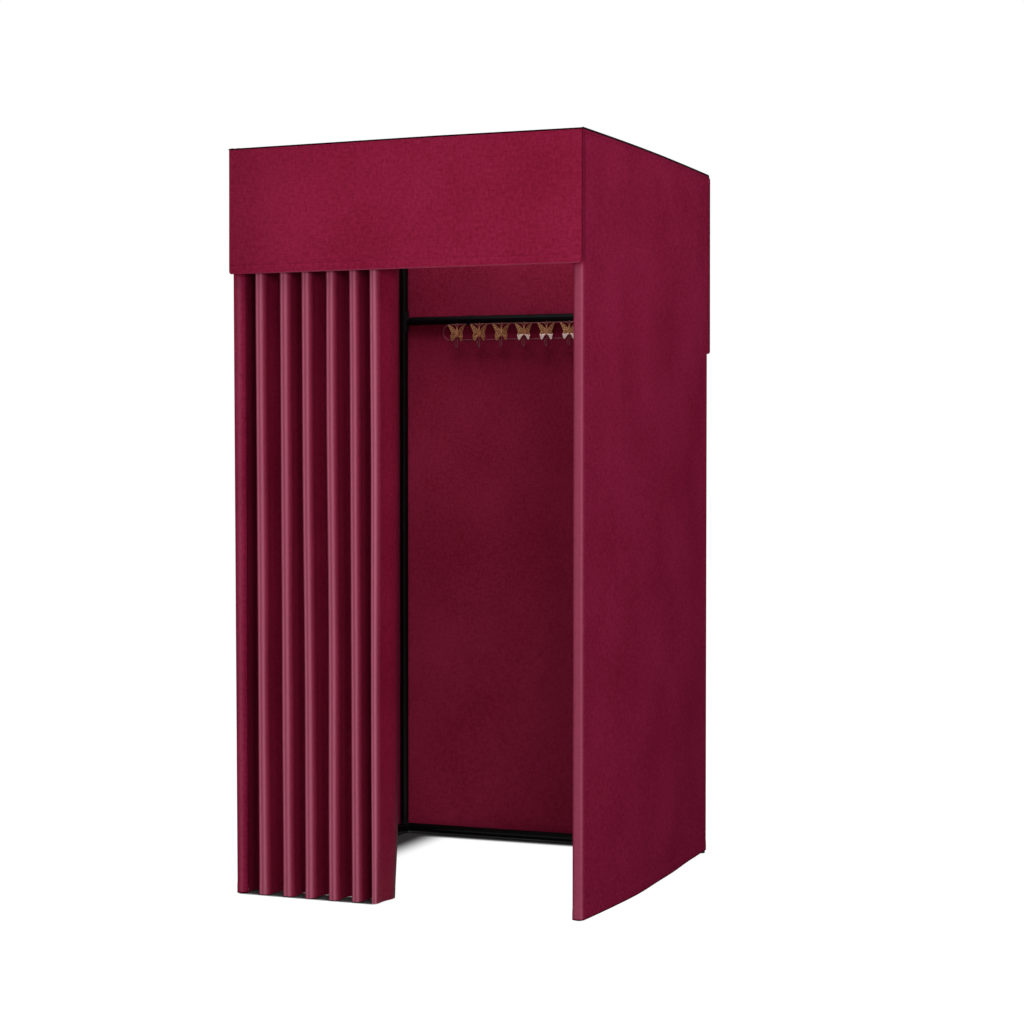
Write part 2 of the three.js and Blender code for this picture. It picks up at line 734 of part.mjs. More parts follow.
// One wing with its openings, from the middle of the body to the right.
function wing() {
  const up = butterfly.height;
  const out = butterfly.halfSpan;
  const shape = new THREE.Shape(wingShares.map(([x, z]) => new THREE.Vector2(x * out, z * up)));
  for (const [x, z, long, wide, tilt] of wingOpeningShares) {
    const opening = new THREE.Path();
    opening.absellipse(x * out, z * up, long * out, wide * out, 0, 2 * Math.PI, true, radians(tilt));
    shape.holes.push(opening);
  }
  return extruded(shape, butterfly.plate, detail.quarterArc).rotateX(Math.PI / 2);
}

// The coat hook's wire: straight down in front of both rack wires, then forward and up to the tip.
function hookWire() {
  const top = upperWireZ - lowerWireZ + hook.headroom;
  const path = [
    [0, top],
    ...arcPoints([-hook.bend, -hook.drop], hook.bend, 0, -180, detail.bend),
    [-2 * hook.bend, hook.tipRise - hook.drop],
  ];
  return wireAlong(path, hook.wire / 2, detail.wire, yAxis, zAxis, new THREE.Vector3(), false);
}

// A butterfly hook about its wire's axis, with height counted from the rack's lower wire.
function butterflyHook() {
  const front = -hook.wire / 2 + butterfly.sink;
  const tailZ = rack.wire / 2;
  const right = wing().translate(0, front, tailZ);
  const bodyProfile = bodyShares.map(([radius, z]) => [
    radius * butterfly.bodyRadius,
    z * butterfly.bodyLength,
  ]);
  const body = turned(bodyProfile, detail.wire);
  body.translate(0, front - butterfly.plate / 2, tailZ + (butterfly.height - butterfly.bodyLength) / 2);
  const tip = new THREE.SphereGeometry(hook.ball / 2, detail.wire, detail.quarterArc);
  tip.rotateX(Math.PI / 2).translate(0, -2 * hook.bend, hook.tipRise - hook.drop);
  return joined([hookWire(), right, mirrored(right), body, tip]);
}

function addRack() {
  addPiece("rack_wire", rackWire(), materials.roseWire);
  addRackClips();
  const shape = butterflyHook();
  for (let index = 0; index < rack.hooks; index++) {
    const x = (index - (rack.hooks - 1) / 2) * rack.hookPitch;
    const placed = shape.clone().translate(x, hookY, lowerWireZ);
    addPiece("butterfly_hook_" + (index + 1), placed, materials.giltMetal);
  }
}

addTubes();
addHubs();
addFeet();
addBarBrackets();
addCurtainRod();
addCovers();
addCurtain();
addRack();

export default room;
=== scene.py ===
# A portable fitting room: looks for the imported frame. Metres, +Z up, the doorway faces -Y.
import math
import bmesh
import bpy
import numpy as np
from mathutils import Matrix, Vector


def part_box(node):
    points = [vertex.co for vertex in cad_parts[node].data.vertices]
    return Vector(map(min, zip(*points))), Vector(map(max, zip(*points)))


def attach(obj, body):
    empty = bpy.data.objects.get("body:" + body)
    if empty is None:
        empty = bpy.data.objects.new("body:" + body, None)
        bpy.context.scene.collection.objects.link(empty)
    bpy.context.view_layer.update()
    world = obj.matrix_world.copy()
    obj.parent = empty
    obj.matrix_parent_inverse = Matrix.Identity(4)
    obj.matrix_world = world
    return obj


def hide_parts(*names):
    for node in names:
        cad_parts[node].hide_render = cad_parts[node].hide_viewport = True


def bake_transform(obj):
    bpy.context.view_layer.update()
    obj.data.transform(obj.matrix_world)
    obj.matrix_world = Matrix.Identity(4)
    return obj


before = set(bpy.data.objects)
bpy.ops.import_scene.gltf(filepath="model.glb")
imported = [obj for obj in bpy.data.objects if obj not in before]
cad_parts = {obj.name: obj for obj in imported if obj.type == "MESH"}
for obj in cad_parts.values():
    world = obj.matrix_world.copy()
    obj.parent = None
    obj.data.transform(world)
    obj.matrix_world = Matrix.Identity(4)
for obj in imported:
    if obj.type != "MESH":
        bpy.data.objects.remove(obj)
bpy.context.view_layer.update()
turn = 2 * math.pi


# Lowest and highest corner of a node.
def span(node):
    low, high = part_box(node)
    return np.array(low), np.array(high)


# Half way between the two corners.
def centre(node):
    low, high = span(node)
    return (low + high) / 2


# Places that the frame gives.
ringCount, hookCount = 7, 9
pleatCount = ringCount - 1
postX, postY = centre("post_back_right")[:2]
railZ = centre("top_rail_right")[2]
rodY = centre("curtain_rod")[1]
clothOuter = span("side_panel_right")[1][0] - postX
hemZ = span("side_panel_right")[0][2]
bandLow = span("front_valance")[0][2]
ringX = [float(centre("curtain_ring_%d" % index)[0]) for index in range(ringCount)]
xAxis, yAxis, zAxis = np.eye(3)
print("stage: places")


# Puts an object with its data into the scene.
def addObject(name, data):
    made = bpy.data.objects.new(name, data)
    bpy.context.scene.collection.objects.link(made)
    return made


# Camera, found from the straight edges of the booth in the photograph.
view = {"place": (2.4643, -5.8836, 1.1889), "yaw": 21.981, "pitch": -1.530, "lens": 79.58, "sensor": 36.0,
        "far": 200}


# A camera looks down when unturned, so its tilt is a right angle and the pitch.
def addCamera():
    data = bpy.data.cameras.new("camera")
    data.lens = view["lens"]
    data.sensor_width = view["sensor"]
    data.clip_end = view["far"]
    camera = addObject("camera", data)
    camera.location = view["place"]
    camera.rotation_euler = (math.radians(90 + view["pitch"]), 0, math.radians(view["yaw"]))
    bpy.context.scene.camera = camera


addCamera()


# A screen colour as the linear one that shaders take: the sRGB curve undone.
def srgb(red, green, blue):
    parts = np.array([red, green, blue]) / 255
    linear = np.where(parts <= 0.04045, parts / 12.92, ((parts + 0.055) / 1.055) ** 2.4)
    return (*[float(part) for part in linear], 1.0)


# A value on its way through the nodes. An expression on signals adds its Math nodes: math() has the signal
# first, and after() has it second.
class Signal:
    def __init__(self, shading, socket):
        self.shading = shading
        self.socket = socket

    def part(self, output):
        return Signal(self.shading, self.socket.node.outputs[output])

    def math(self, operation, other=0.0, third=0.0):
        return self.shading.node("ShaderNodeMath", {"operation": operation}, {0: self, 1: other, 2: third})

    def after(self, operation, first):
        return self.shading.node("ShaderNodeMath", {"operation": operation}, {0: first, 1: self})

    def __add__(self, other):
        return self.math("ADD", other)

    def __radd__(self, other):
        return self.after("ADD", other)

    def __sub__(self, other):
        return self.math("SUBTRACT", other)

    def __rsub__(self, other):
        return self.after("SUBTRACT", other)

    def __mul__(self, other):
        return self.math("MULTIPLY", other)

    def __rmul__(self, other):
        return self.after("MULTIPLY", other)


# The nodes of one material or world. Sockets get a plain value, or a link where a signal is given.
class Shading:
    def __init__(self, owner):
        owner.use_nodes = True
        self.tree = owner.node_tree

    def feed(self, node, sockets):
        for key, value in sockets.items():
            if isinstance(value, Signal):
                self.tree.links.new(value.socket, node.inputs[key])
            else:
                node.inputs[key].default_value = value

    # Any node: its settings are set first, then the values or links of its sockets.
    def node(self, kind, settings=None, sockets=None, output=0):
        made = self.tree.nodes.new(kind)
        for key, value in (settings or {}).items():
            setattr(made, key, value)
        self.feed(made, sockets or {})
        return Signal(self, made.outputs[output])

    def mix(self, share, first, second):
        return self.node("ShaderNodeMix", {"data_type": "RGBA"}, {0: share, 6: first, 7: second}, 2)

    def mixShaders(self, share, first, second):
        return self.node("ShaderNodeMixShader", None, {0: share, 1: first, 2: second})

    def place(self):
        return self.node("ShaderNodeTexCoord", output=3)

    def noise(self, vector, scale, detail, roughness):
        sockets = {"Vector": vector, "Scale": scale, "Detail": detail, "Roughness": roughness}
        return self.node("ShaderNodeTexNoise", {"noise_dimensions": "3D"}, sockets)

    def ramp(self, signal, low, high):
        sockets = {"Value": signal, "From Min": low, "From Max": high}
        return self.node("ShaderNodeMapRange", {"interpolation_type": "SMOOTHSTEP"}, sockets)


# One material. Its shader's own sockets take what is the same all over, and feed() links what varies.
class Finish(Shading):
    def __init__(self, name, uniform):
        self.material = bpy.data.materials.new(name)
        super().__init__(self.material)
        self.shader = self.tree.nodes["Principled BSDF"]
        self.feed(self.shader, uniform)

    def bump(self, height, strength, distance):
        sockets = {"Height": height, "Strength": strength, "Distance": distance}
        self.feed(self.shader, {"Normal": self.node("ShaderNodeBump", None, sockets)})


# Slubs, blotches and mottle each have a scale or two, then detail and roughness.
weave = {
    "thread": 0.0012,
    "slub": (420, 34, 3.0, 0.55),
    "blotch": (110, 4.0, 0.65),
    "mottle": (4, 2.0, 0.5),
    "toneShares": (0.45, 0.35, 0.2),
    "tone": (0.36, 0.64),
    "stitchUp": 0.0215,
    "stitchWidth": 0.0005,
    "stitchPitch": 0.0042,
    "stitchFrom": -0.35,
    "stitchLight": 0.5,
    "paintedHighlightSlubs": (0.85, 0.3),
    "rougher": 0.12,
    "bumpShares": (0.3, 0.9, 0.4, 1.2),
    "bump": (0.3, 0.0006),
    "plainUp": 0.05,
}
sheens = {
    "flat": {"specular": 0.0, "weight": 0.0, "roughness": 0.5},
    "matt": {"specular": 0.04, "weight": 0.0, "roughness": 0.5},
    "satin": {"specular": 0.06, "weight": 0.02, "roughness": 0.4},
}
# The pink tints the shader's real specular and sheen. The deep red is the colour of painted shade.
tint, deepShade = (255, 186, 206), (48, 2, 15)
# Each cloth: name, its dark and light thread, the colour of its painted highlight, the sheen and the
# roughness.
cloths = {
    "cover": ("coverCloth", (127, 25, 50), (155, 42, 73), (188, 102, 126), "flat", 0.78),
    # The side cloth is the cover's cloth set a little darker as painted shade, for the side covers, their
    # seams and the back band.
    "side": ("shadedSideCloth", (119, 20, 49), (146, 36, 70), (188, 102, 126), "flat", 0.78),
    "band": ("bandCloth", (127, 21, 49), (156, 38, 72), (188, 102, 126), "matt", 0.78),
    "curtain": ("curtainCloth", (113, 14, 42), (135, 27, 57), (188, 102, 126), "satin", 0.45),
    "binding": ("darkBinding", (20, 3, 8), (32, 7, 13), (60, 20, 32), "matt", 0.8),
}


# Plain weave with slubs both ways, soft blotches, and a line of stitches above the hem. The threads are the
# product of a sine across and a sine along.
# The UV map holds metres along the cloth and metres above the hem. A point attribute mixes in painted
# highlight where it is above zero, as on the noses of folds and round the wrapped uprights, and painted shade
# where it is below zero, as along hems and free edges.
def wovenCloth(name, dark, light, paintedLight, sheen, roughness):
    gloss, dark, light = sheens[sheen], srgb(*dark), srgb(*light)
    cloth = Finish(name, {
        "Specular IOR Level": gloss["specular"],
        "Specular Tint": srgb(*tint),
        "Sheen Weight": gloss["weight"],
        "Sheen Roughness": gloss["roughness"],
        "Sheen Tint": srgb(*tint),
    })
    uv = cloth.node("ShaderNodeUVMap")
    parts = cloth.node("ShaderNodeSeparateXYZ", None, {0: uv})
    along, up = parts.part(0), parts.part(1)
    warp = (along * (turn / weave["thread"])).math("SINE")
    weft = (up * (turn / weave["thread"])).math("SINE")
    fineScale, longScale, detail, uneven = weave["slub"]

    # Noise that is stretched one way.
    def slub(scaleU, scaleV):
        stretched = cloth.node("ShaderNodeCombineXYZ", None, {0: along * scaleU, 1: up * scaleV})
        return cloth.noise(stretched, 1.0, detail, uneven)

    slubs = (slub(fineScale, longScale) + slub(longScale, fineScale)) * 0.5
    blotch = cloth.noise(cloth.place(), *weave["blotch"])
    mottle = cloth.noise(cloth.place(), *weave["mottle"])
    dashes = (along * (turn / weave["stitchPitch"])).math("SINE").math("GREATER_THAN", weave["stitchFrom"])
    stitches = up.math("COMPARE", weave["stitchUp"], weave["stitchWidth"]) * dashes

    # The sum of signals, each times its share.
    def total(signals, shares):
        first, *others = [signal * share for signal, share in zip(signals, shares)]
        return sum(others, first)

    tone = total((slubs, blotch, mottle), weave["toneShares"])
    woven = cloth.mix(cloth.ramp(tone, *weave["tone"]), dark, light)
    # Painted highlight: the attribute mixes toward the pale colour, more on the slubs. Painted shade: below
    # zero it mixes toward the deep red.
    paintedLightMask = cloth.node("ShaderNodeAttribute", {"attribute_name": "paintedLightMask"}, output=2)
    least, more = weave["paintedHighlightSlubs"]
    stitched = cloth.mix(stitches * weave["stitchLight"], woven, light)
    wearAndHighlight = cloth.mix(paintedLightMask * (least + more * slubs), stitched, srgb(*paintedLight))
    cloth.feed(cloth.shader, {"Base Color": cloth.mix(paintedLightMask * -1.0, wearAndHighlight, srgb(*deepShade))})
    cloth.feed(cloth.shader, {"Roughness": roughness + weave["rougher"] * slubs})
    cloth.bump(total((warp * weft, slubs, blotch, stitches), weave["bumpShares"]), *weave["bump"])
    return cloth.material


grains = {
    "smooth": {"cloud": 30, "fine": 900, "strength": 0.12, "depth": 0.0002},
    "moulded": {"cloud": 60, "fine": 1500, "strength": 0.3, "depth": 0.0003},
    "cast": {"cloud": 240, "fine": 1400, "strength": 0.35, "depth": 0.0003},
    "drawn": {"cloud": 200, "fine": 2600, "strength": 0.1, "depth": 0.0001},
}
wornFrom, wornTo = 0.42, 0.7
# Each hard finish: name, base and worn colour, the shader's own values, grain, least and most roughness.
hardFinishes = {
    "paint": ("blackPaint", (4, 4, 5), (8, 8, 9), {"Specular IOR Level": 0.15}, "smooth", (0.4, 0.5)),
    "plastic": ("blackPlastic", (9, 9, 10), (15, 15, 16), {"Specular IOR Level": 0.25}, "moulded",
                (0.48, 0.6)),
    "rubber": ("footRubber", (26, 26, 27), (40, 39, 38), {}, "moulded", (0.72, 0.86)),
    "gilt": ("antiqueGilt", (218, 160, 112), (156, 104, 70), {"Metallic": 0.6}, "cast", (0.34, 0.5)),
    # The white of the lower wings is a painted highlight: a white plate with a clear coat.
    "paintedGlint": ("paintedGlintWhite", (255, 236, 228), (250, 214, 206), {"Coat Weight": 0.6}, "drawn", (0.22, 0.34)),
    "rose": ("roseWire", (146, 84, 92), (116, 62, 70), {"Metallic": 0.6}, "drawn", (0.34, 0.46)),
    "zinc": ("platedSteel", (186, 188, 190), (158, 160, 163), {"Metallic": 1.0}, "drawn", (0.26, 0.4)),
}


# Painted, moulded or plated surfaces: a base that varies a little, and a fine grain.
def hardFinish(name, base, wearAndHighlight, uniform, grain, roughness):
    made, grain, (least, most) = Finish(name, uniform), grains[grain], roughness
    cloudy = made.noise(made.place(), grain["cloud"], 3.0, 0.6)
    fine = made.noise(made.place(), grain["fine"], 2.0, 0.5)
    colour = made.mix(made.ramp(cloudy, wornFrom, wornTo), srgb(*base), srgb(*wearAndHighlight))
    made.feed(made.shader, {"Base Color": colour, "Roughness": least + (most - least) * cloudy})
    made.bump(fine, grain["strength"], grain["depth"])
    return made.material


materials = {key: wovenCloth(*row) for key, row in cloths.items()}
materials.update({key: hardFinish(*row) for key, row in hardFinishes.items()})
print("stage: materials")


# Puts arrays into a mesh, drops the points that no face uses, and shades it smooth up to an angle.
def addMesh(name, points, faces, finish, body="frame", uv=None, paintedLightMask=None, sharp=38, welded=False):
    corners = np.concatenate([block.ravel() for block in faces])
    used, compact = np.unique(corners, return_inverse=True)
    sizes = [block.size for block in faces]
    pieces = np.split(compact, np.cumsum(sizes)[:-1])
    polygons = [row for piece, block in zip(pieces, faces) for row in piece.reshape(block.shape).tolist()]
    mesh = bpy.data.meshes.new(name)
    mesh.from_pydata(points[used].tolist(), [], polygons)
    if uv is not None:
        mesh.uv_layers.new(name="UVMap").data.foreach_set("uv", uv[corners].astype(np.float32).ravel())
    # The attribute of painted highlight and painted shade, the same on both faces.
    if paintedLightMask is not None:
        values = np.concatenate([paintedLightMask.ravel(), paintedLightMask.ravel()])[used].astype(np.float32)
        mesh.attributes.new("paintedLightMask", "FLOAT", "POINT").data.foreach_set("value", values)
    if welded:
        shell = bmesh.new()
        shell.from_mesh(mesh)
        bmesh.ops.remove_doubles(shell, verts=shell.verts, dist=1e-7)
        bmesh.ops.recalc_face_normals(shell, faces=shell.faces)
        shell.to_mesh(mesh)
        shell.free()
    mesh.shade_smooth()
    mesh.set_sharp_from_angle(angle=math.radians(sharp))
    mesh.materials.append(materials[finish])
    made = addObject(name, mesh)
    if body:
        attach(made, body)
    return made


# Coordinates that are broadcast to one shape, as points in one array.
def grid(*parts):
    return np.stack(np.broadcast_arrays(*parts), -1)


# Faces of a grid of points, joined round at the ends where it is closed that way.
def gridQuads(rows, columns, closedRows=False, closedColumns=False):
    row = np.arange(rows if closedRows else rows - 1)[:, None]
    column = np.arange(columns if closedColumns else columns - 1)[None, :]
    nextRow, nextColumn = (row + 1) % rows, (column + 1) % columns
    corners = [row * columns + column, row * columns + nextColumn, nextRow * columns + nextColumn,
               nextRow * columns + column]
    return np.stack(corners, -1).reshape(-1, 4)


# Several solids as one list of points and faces.
def together(solids):
    points = np.concatenate([points for points, faces in solids])
    starts = np.cumsum([0] + [len(points) for points, faces in solids])
    return points, [block + start for (_, faces), start in zip(solids, starts) for block in faces]


# A closed sheet between an outer and an inner grid. Cells that keep leaves out are cut away, and each
# open edge gets a rim.
def clothShell(outer, inner, keep=None):
    rows, columns = outer.shape[:2]
    cells = np.ones((rows - 1, columns - 1), bool) if keep is None else keep
    index = np.arange(rows * columns).reshape(rows, columns)
    a, b, c, d = index[:-1, :-1], index[:-1, 1:], index[1:, 1:], index[1:, :-1]
    behind = rows * columns
    beside = np.pad(cells, 1)
    faces = [np.stack([a, b, c, d], -1)[cells], np.stack([d, c, b, a], -1)[cells] + behind]
    edges = [(beside[:-2, 1:-1], b, a), (beside[1:-1, 2:], c, b), (beside[2:, 1:-1], d, c),
             (beside[1:-1, :-2], a, d)]
    for neighbour, start, end in edges:
        rim = cells & ~neighbour
        faces.append(np.stack([start[rim], end[rim], end[rim] + behind, start[rim] + behind], -1))
    points = np.concatenate([outer.reshape(-1, 3), inner.reshape(-1, 3)])
    return points, [block for block in faces if len(block)]


# The UV of a sheet: metres along it and metres above its lower edge, the same on both faces.
def clothUv(along, up):
    face = grid(along[None, :], up[:, None]).reshape(-1, 2)
    return np.concatenate([face, face])


# Where cloth that turns round something gets painted highlight: a sum of bell curves over the angle from the
# front, in degrees, each with its middle, spread and height.
def paintedHighlightAt(angle, bells):
    total = sum(height * np.exp(-(((angle - middle) / spread) ** 2)) for middle, spread, height in bells)
    return np.clip(total, 0, 1)


# Smooth unevenness: a sum of a few sine waves over two directions, with seeded phases.
def ripple(u, v, seed, lengthU, lengthV, waves=5):
    random = np.random.default_rng(seed)
    total = np.zeros(np.broadcast(u, v).shape)
    for _ in range(waves):
        turnsU, turnsV = random.uniform(0.5, 1.5) / lengthU, random.uniform(-1.0, 1.0) / lengthV
        total = total + np.sin(turn * (u * turnsU + v * turnsV + random.uniform()))
    return total / waves


# From 0 at low to 1 at high, level at both ends: three squares less two cubes.
def smoothstep(x, low, high):
    share = np.clip((x - low) / (high - low), 0, 1)
    return share * share * (3 - 2 * share)


# Even angles from one to another, in radians.
def arc(fromDegrees, toDegrees, steps):
    return np.radians(np.linspace(fromDegrees, toDegrees, steps + 1))


# Vectors divided by their lengths.
def unit(vectors):
    return vectors / np.linalg.norm(vectors, axis=-1, keepdims=True)


# Directions along a path, from each point's two neighbours.
def tangents(path, closed=False):
    if closed:
        return unit(np.roll(path, -1, 0) - np.roll(path, 1, 0))
    return unit(np.concatenate([path[1:], path[-1:]]) - np.concatenate([path[:1], path[:-1]]))


# Running length of a line from its first point: the sum of its steps.
def lengthAlong(x, y):
    return np.concatenate([[0], np.cumsum(np.hypot(np.diff(x), np.diff(y)))])


# A round solid along a path that lies square to normal: a circle of the given radius about each point.
def roundAlong(path, radius, normal, sides, closed=False):
    along = tangents(path, closed)
    across = np.cross(along, normal)
    angle = np.linspace(0, turn, sides, endpoint=False)
    circle = np.cos(angle)[:, None] * across[:, None, :] + np.sin(angle)[:, None] * normal
    points = path[:, None, :] + np.reshape(radius, (-1, 1, 1)) * circle
    return points.reshape(-1, 3), [gridQuads(len(path), sides, closed, True)[:, ::-1]]


# A wire with domed ends: the path goes on past each end while the radius falls as a quarter circle.
def wire(path, radius, normal, sides=12):
    along = tangents(path)
    dome = arc(0, 90, 4)[1:]
    start = path[0] - along[0] * radius * np.sin(dome[::-1, None])
    end = path[-1] + along[-1] * radius * np.sin(dome[:, None])
    radii = np.concatenate([np.cos(dome[::-1]), np.ones(len(path)), np.cos(dome)]) * radius
    return roundAlong(np.concatenate([start, path, end]), radii, normal, sides)


# A turned solid: [radius, height] points from the bottom up, set on a start along a direction.
def turned(profile, start, direction, sides, closed=False):
    profile = np.array(profile, float)
    side = xAxis if abs(direction[0]) < 0.5 else yAxis
    across, over = unit(np.cross(direction, side)), unit(np.cross(direction, np.cross(direction, side)))
    angle = np.linspace(0, turn, sides, endpoint=False)
    circle = np.cos(angle)[:, None] * across + np.sin(angle)[:, None] * over
    points = profile[:, :1, None] * circle + profile[:, 1:, None] * direction + start
    return points.reshape(-1, 3), [gridQuads(len(profile), sides, closed, True)]


# A bent strip: a flat path moved half the thickness both ways, and carried to each of the places across.
def strip(path, thickness, across, normal):
    sideways = np.cross(tangents(path), normal) * thickness / 2
    return clothShell(*[(path + sign * sideways)[:, None, :] + across for sign in (1, -1)])


# Tuck and wrap have their first and last angle round the front upright, and their steps.
cover = {
    "cloth": 0.0016,
    "flap": 0.022,
    "flapRows": 4,
    "tuck": (-205, -186, 3),
    "wrap": (-180, 0, 28),
    "wrapHung": 15,
    "turnSteps": 12,
    "wrapBelowRail": 0.030,
    "lastBelowRail": 0.015,
    "flapClear": 0.030,
    "rodClear": 0.025,
    "hem": 0.025,
    "hemEdge": 0.002,
    "hemRise": 0.0007,
    "stitchDent": 0.0005,
    "dentWide": 0.0013,
    "rowsFrom": 0.040,
    "rows": 70,
    "columns": 90,
    "endClear": 0.0003,
    "billow": {"right": 0.020, "left": 0.018, "back": 0.008},
    "skew": {"right": 0.0045, "left": -0.003, "back": 0.002},
    "billowPower": 1.6,
    "unevenness": 0.0030,
    "unevenLengths": (0.34, 2.6),
    "unevenAtTop": 0.15,
    "seed": {"right": 3, "left": 8, "back": 15},
    "shoulder": 5.0,
    "hemDrop": 0.0066,
    "hemLift": 0.008,
    "hemLiftReach": 0.6,
    # Below this height over the hem the cover gets a line of painted shade.
    "hemShadeLine": 0.003,
    "spread": {"right": 0.0, "left": 0.0066},
    "spreadFullAt": 1.70,
    "lean": {"right": 0.002, "left": 0.0},
    "leanBetween": (0.1, 1.9),
    # Painted shade on the wrap where it is behind the band, and bells of painted highlight round each front
    # upright.
    "bandShade": 0.35,
    "behindBand": (-0.004, 0.006),
    "paintedLight": {
        "right": [(-24, 24, 0.2), (18, 44, 0.33), (46, 11, 0.34)],
        "left": [(-14, 20, 0.18), (16, 40, 0.04)],
    },
}
# Heights of rows above a hem, closest where it is stitched.
hemSteps = np.array([0, 0.0012, 0.004, 0.010, 0.017, 0.0198, 0.0208, 0.0215, 0.0222, 0.0232, 0.025, 0.0262,
                     0.028])


# One where the cloth lies doubled, up to the hem line.
def hemLayer(up):
    return 1 - smoothstep(up, cover["hem"], cover["hem"] + cover["hemEdge"])


# The dent that the stitches pull in: a bell curve about their height.
def stitchDent(up):
    return cover["stitchDent"] * np.exp(-(((up - weave["stitchUp"]) / cover["dentWide"]) ** 2))


# Outer quarter over a rail: a superellipse, the cosine and sine raised to two over its power, so that
# the cloth has a sewn shoulder and not the rail's full round.
def shoulder(angles):
    power = 2 / cover["shoulder"]
    return np.abs(np.cos(angles)) ** power, np.abs(np.sin(angles)) ** power


# Rows of a cover that hangs from a rail: up to it, half round it and down behind. Each row has its
# shares of the radius across and up and its height over the rail. The last two values are the row at
# the crown and the row where the wraps round the uprights end.
def hangingRows():
    bottom, steps, flapRows = hemZ - cover["hemDrop"], cover["turnSteps"], cover["flapRows"]
    straight = np.linspace(cover["rowsFrom"], railZ - cover["wrapBelowRail"] - bottom, cover["rows"])
    last = railZ - cover["lastBelowRail"] - bottom
    heights = np.concatenate([hemSteps, straight, [last]]) + bottom - railZ
    inner = arc(90, 180, steps)[1:]
    outAcross, outUp = shoulder(arc(0, 90, steps))
    across = np.concatenate([np.ones(len(heights)), outAcross, np.cos(inner), -np.ones(flapRows)])
    up = np.concatenate([np.zeros(len(heights)), outUp, np.sin(inner), np.zeros(flapRows)])
    down = np.linspace(1 / flapRows, 1, flapRows) * cover["flap"]
    above = np.concatenate([heights, np.zeros(len(outUp) + len(inner)), -down])
    return across, up, above, len(heights) + steps, len(heights) - 2


# How far a cover bellies out: most at the hem, half a wave between the uprights, skewed a little.
def belly(share, above, side):
    low = np.clip(-above / (railZ - hemZ), 0, 1)
    wave = cover["billow"][side] * np.sin(math.pi * share) + cover["skew"][side] * np.sin(turn * share)
    uneven = cover["unevenness"] * ripple(share, above, cover["seed"][side], *cover["unevenLengths"])
    least = cover["unevenAtTop"]
    return wave * low ** cover["billowPower"] + uneven * np.sin(math.pi * share) * (least + (1 - least) * low)


# How far the hem rises toward the back: in proportion along the side, and fading out above the hem.
def hemLift(share, up):
    return cover["hemLift"] * share * (1 - smoothstep(up, 0, cover["hemLiftReach"]))[:, None]


# A cover's shell, from its face as a function of the radius round the rail. The outer face stands a layer
# further out at the hem than above it.
def coverShell(face, hanging, keep, flip=False):
    rise = cover["hemRise"] * hemLayer(hanging) - stitchDent(hanging)
    outer, inner = face(clothOuter + rise[:, None] - cover["hemRise"]), face(clothOuter - cover["cloth"])
    if flip:
        outer, inner, keep = outer[:, ::-1], inner[:, ::-1], keep[:, ::-1]
    return clothShell(outer, inner, keep)


# Side cover: tucked behind the front upright, round it, along the side and round the back upright; over
# the side rail and down.
def addSideCover(side):
    sign = 1 if side == "right" else -1
    front, back = np.concatenate([arc(*cover["tuck"]), arc(*cover["wrap"])]), arc(0, 90, cover["turnSteps"])
    middle = np.linspace(-postY, postY, cover["columns"])[1:-1]
    x = np.concatenate([np.cos(front), np.ones(len(middle)), np.cos(back)])
    y = np.concatenate([np.sin(front), np.zeros(len(middle)), np.sin(back)])
    spine = np.concatenate([np.full(len(front), -postY), middle, np.full(len(back), postY)])
    across, up, above, crown, wrap = hangingRows()
    share = (spine + postY) / (2 * postY)
    height, hanging = (railZ + above)[:, None], above - above[0]
    atFront = (spine == -postY)[None, :]
    full = cover["spreadFullAt"]
    wide = cover["spread"][side] * height / full * (1 - smoothstep(height, full, railZ))
    lean = cover["lean"][side] * (1 - smoothstep(height, *cover["leanBetween"]))
    wide = wide * (0.5 + 0.5 * x) * (1 - share) - lean * (0.5 - 0.5 * x) * atFront
    out = (belly(share[None, :], above[:, None], side) + wide) * np.maximum(across[:, None], 0)
    # Painted highlight round the front upright, painted shade on the wrap behind the band, and a line of
    # painted shade along the hem.
    paintedLight = paintedHighlightAt(np.degrees(np.arcsin(np.clip(x, -1, 1))), cover["paintedLight"][side])[None, :] * atFront
    hidden = smoothstep(height, *[bandLow + away for away in cover["behindBand"]])
    paintedLight = paintedLight * (1 - hidden) - cover["bandShade"] * hidden * atFront
    paintedLight = np.where(hanging[:, None] < cover["hemShadeLine"], -1.0, paintedLight)

    def face(radius):
        reach = radius * across[:, None]
        lifted = railZ + radius * up[:, None] + above[:, None] + hemLift(share, hanging)
        return grid(sign * (postX + reach * x + out), spine + reach * y, lifted)

    row, column = np.arange(len(across) - 1)[:, None], np.arange(len(x) - 1)[None, :]
    inFlap = (spine[:-1] >= rodY + cover["rodClear"]) & (spine[1:] <= postY - cover["flapClear"])
    hung = cover["tuck"][2] + cover["wrapHung"]
    keep = np.where(column < hung, row < wrap, (row < crown) | inFlap[None, :])
    points, faces = coverShell(face, hanging, keep, sign < 0)
    u = lengthAlong(clothOuter * x, spine + clothOuter * y)
    v = lengthAlong(clothOuter * across, clothOuter * up + above)
    uv = clothUv(u[::sign], v)
    made = addMesh("side_cover_" + side, points, faces, "side", uv=uv, paintedLightMask=paintedLight[:, ::sign])
    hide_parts("side_panel_" + side)


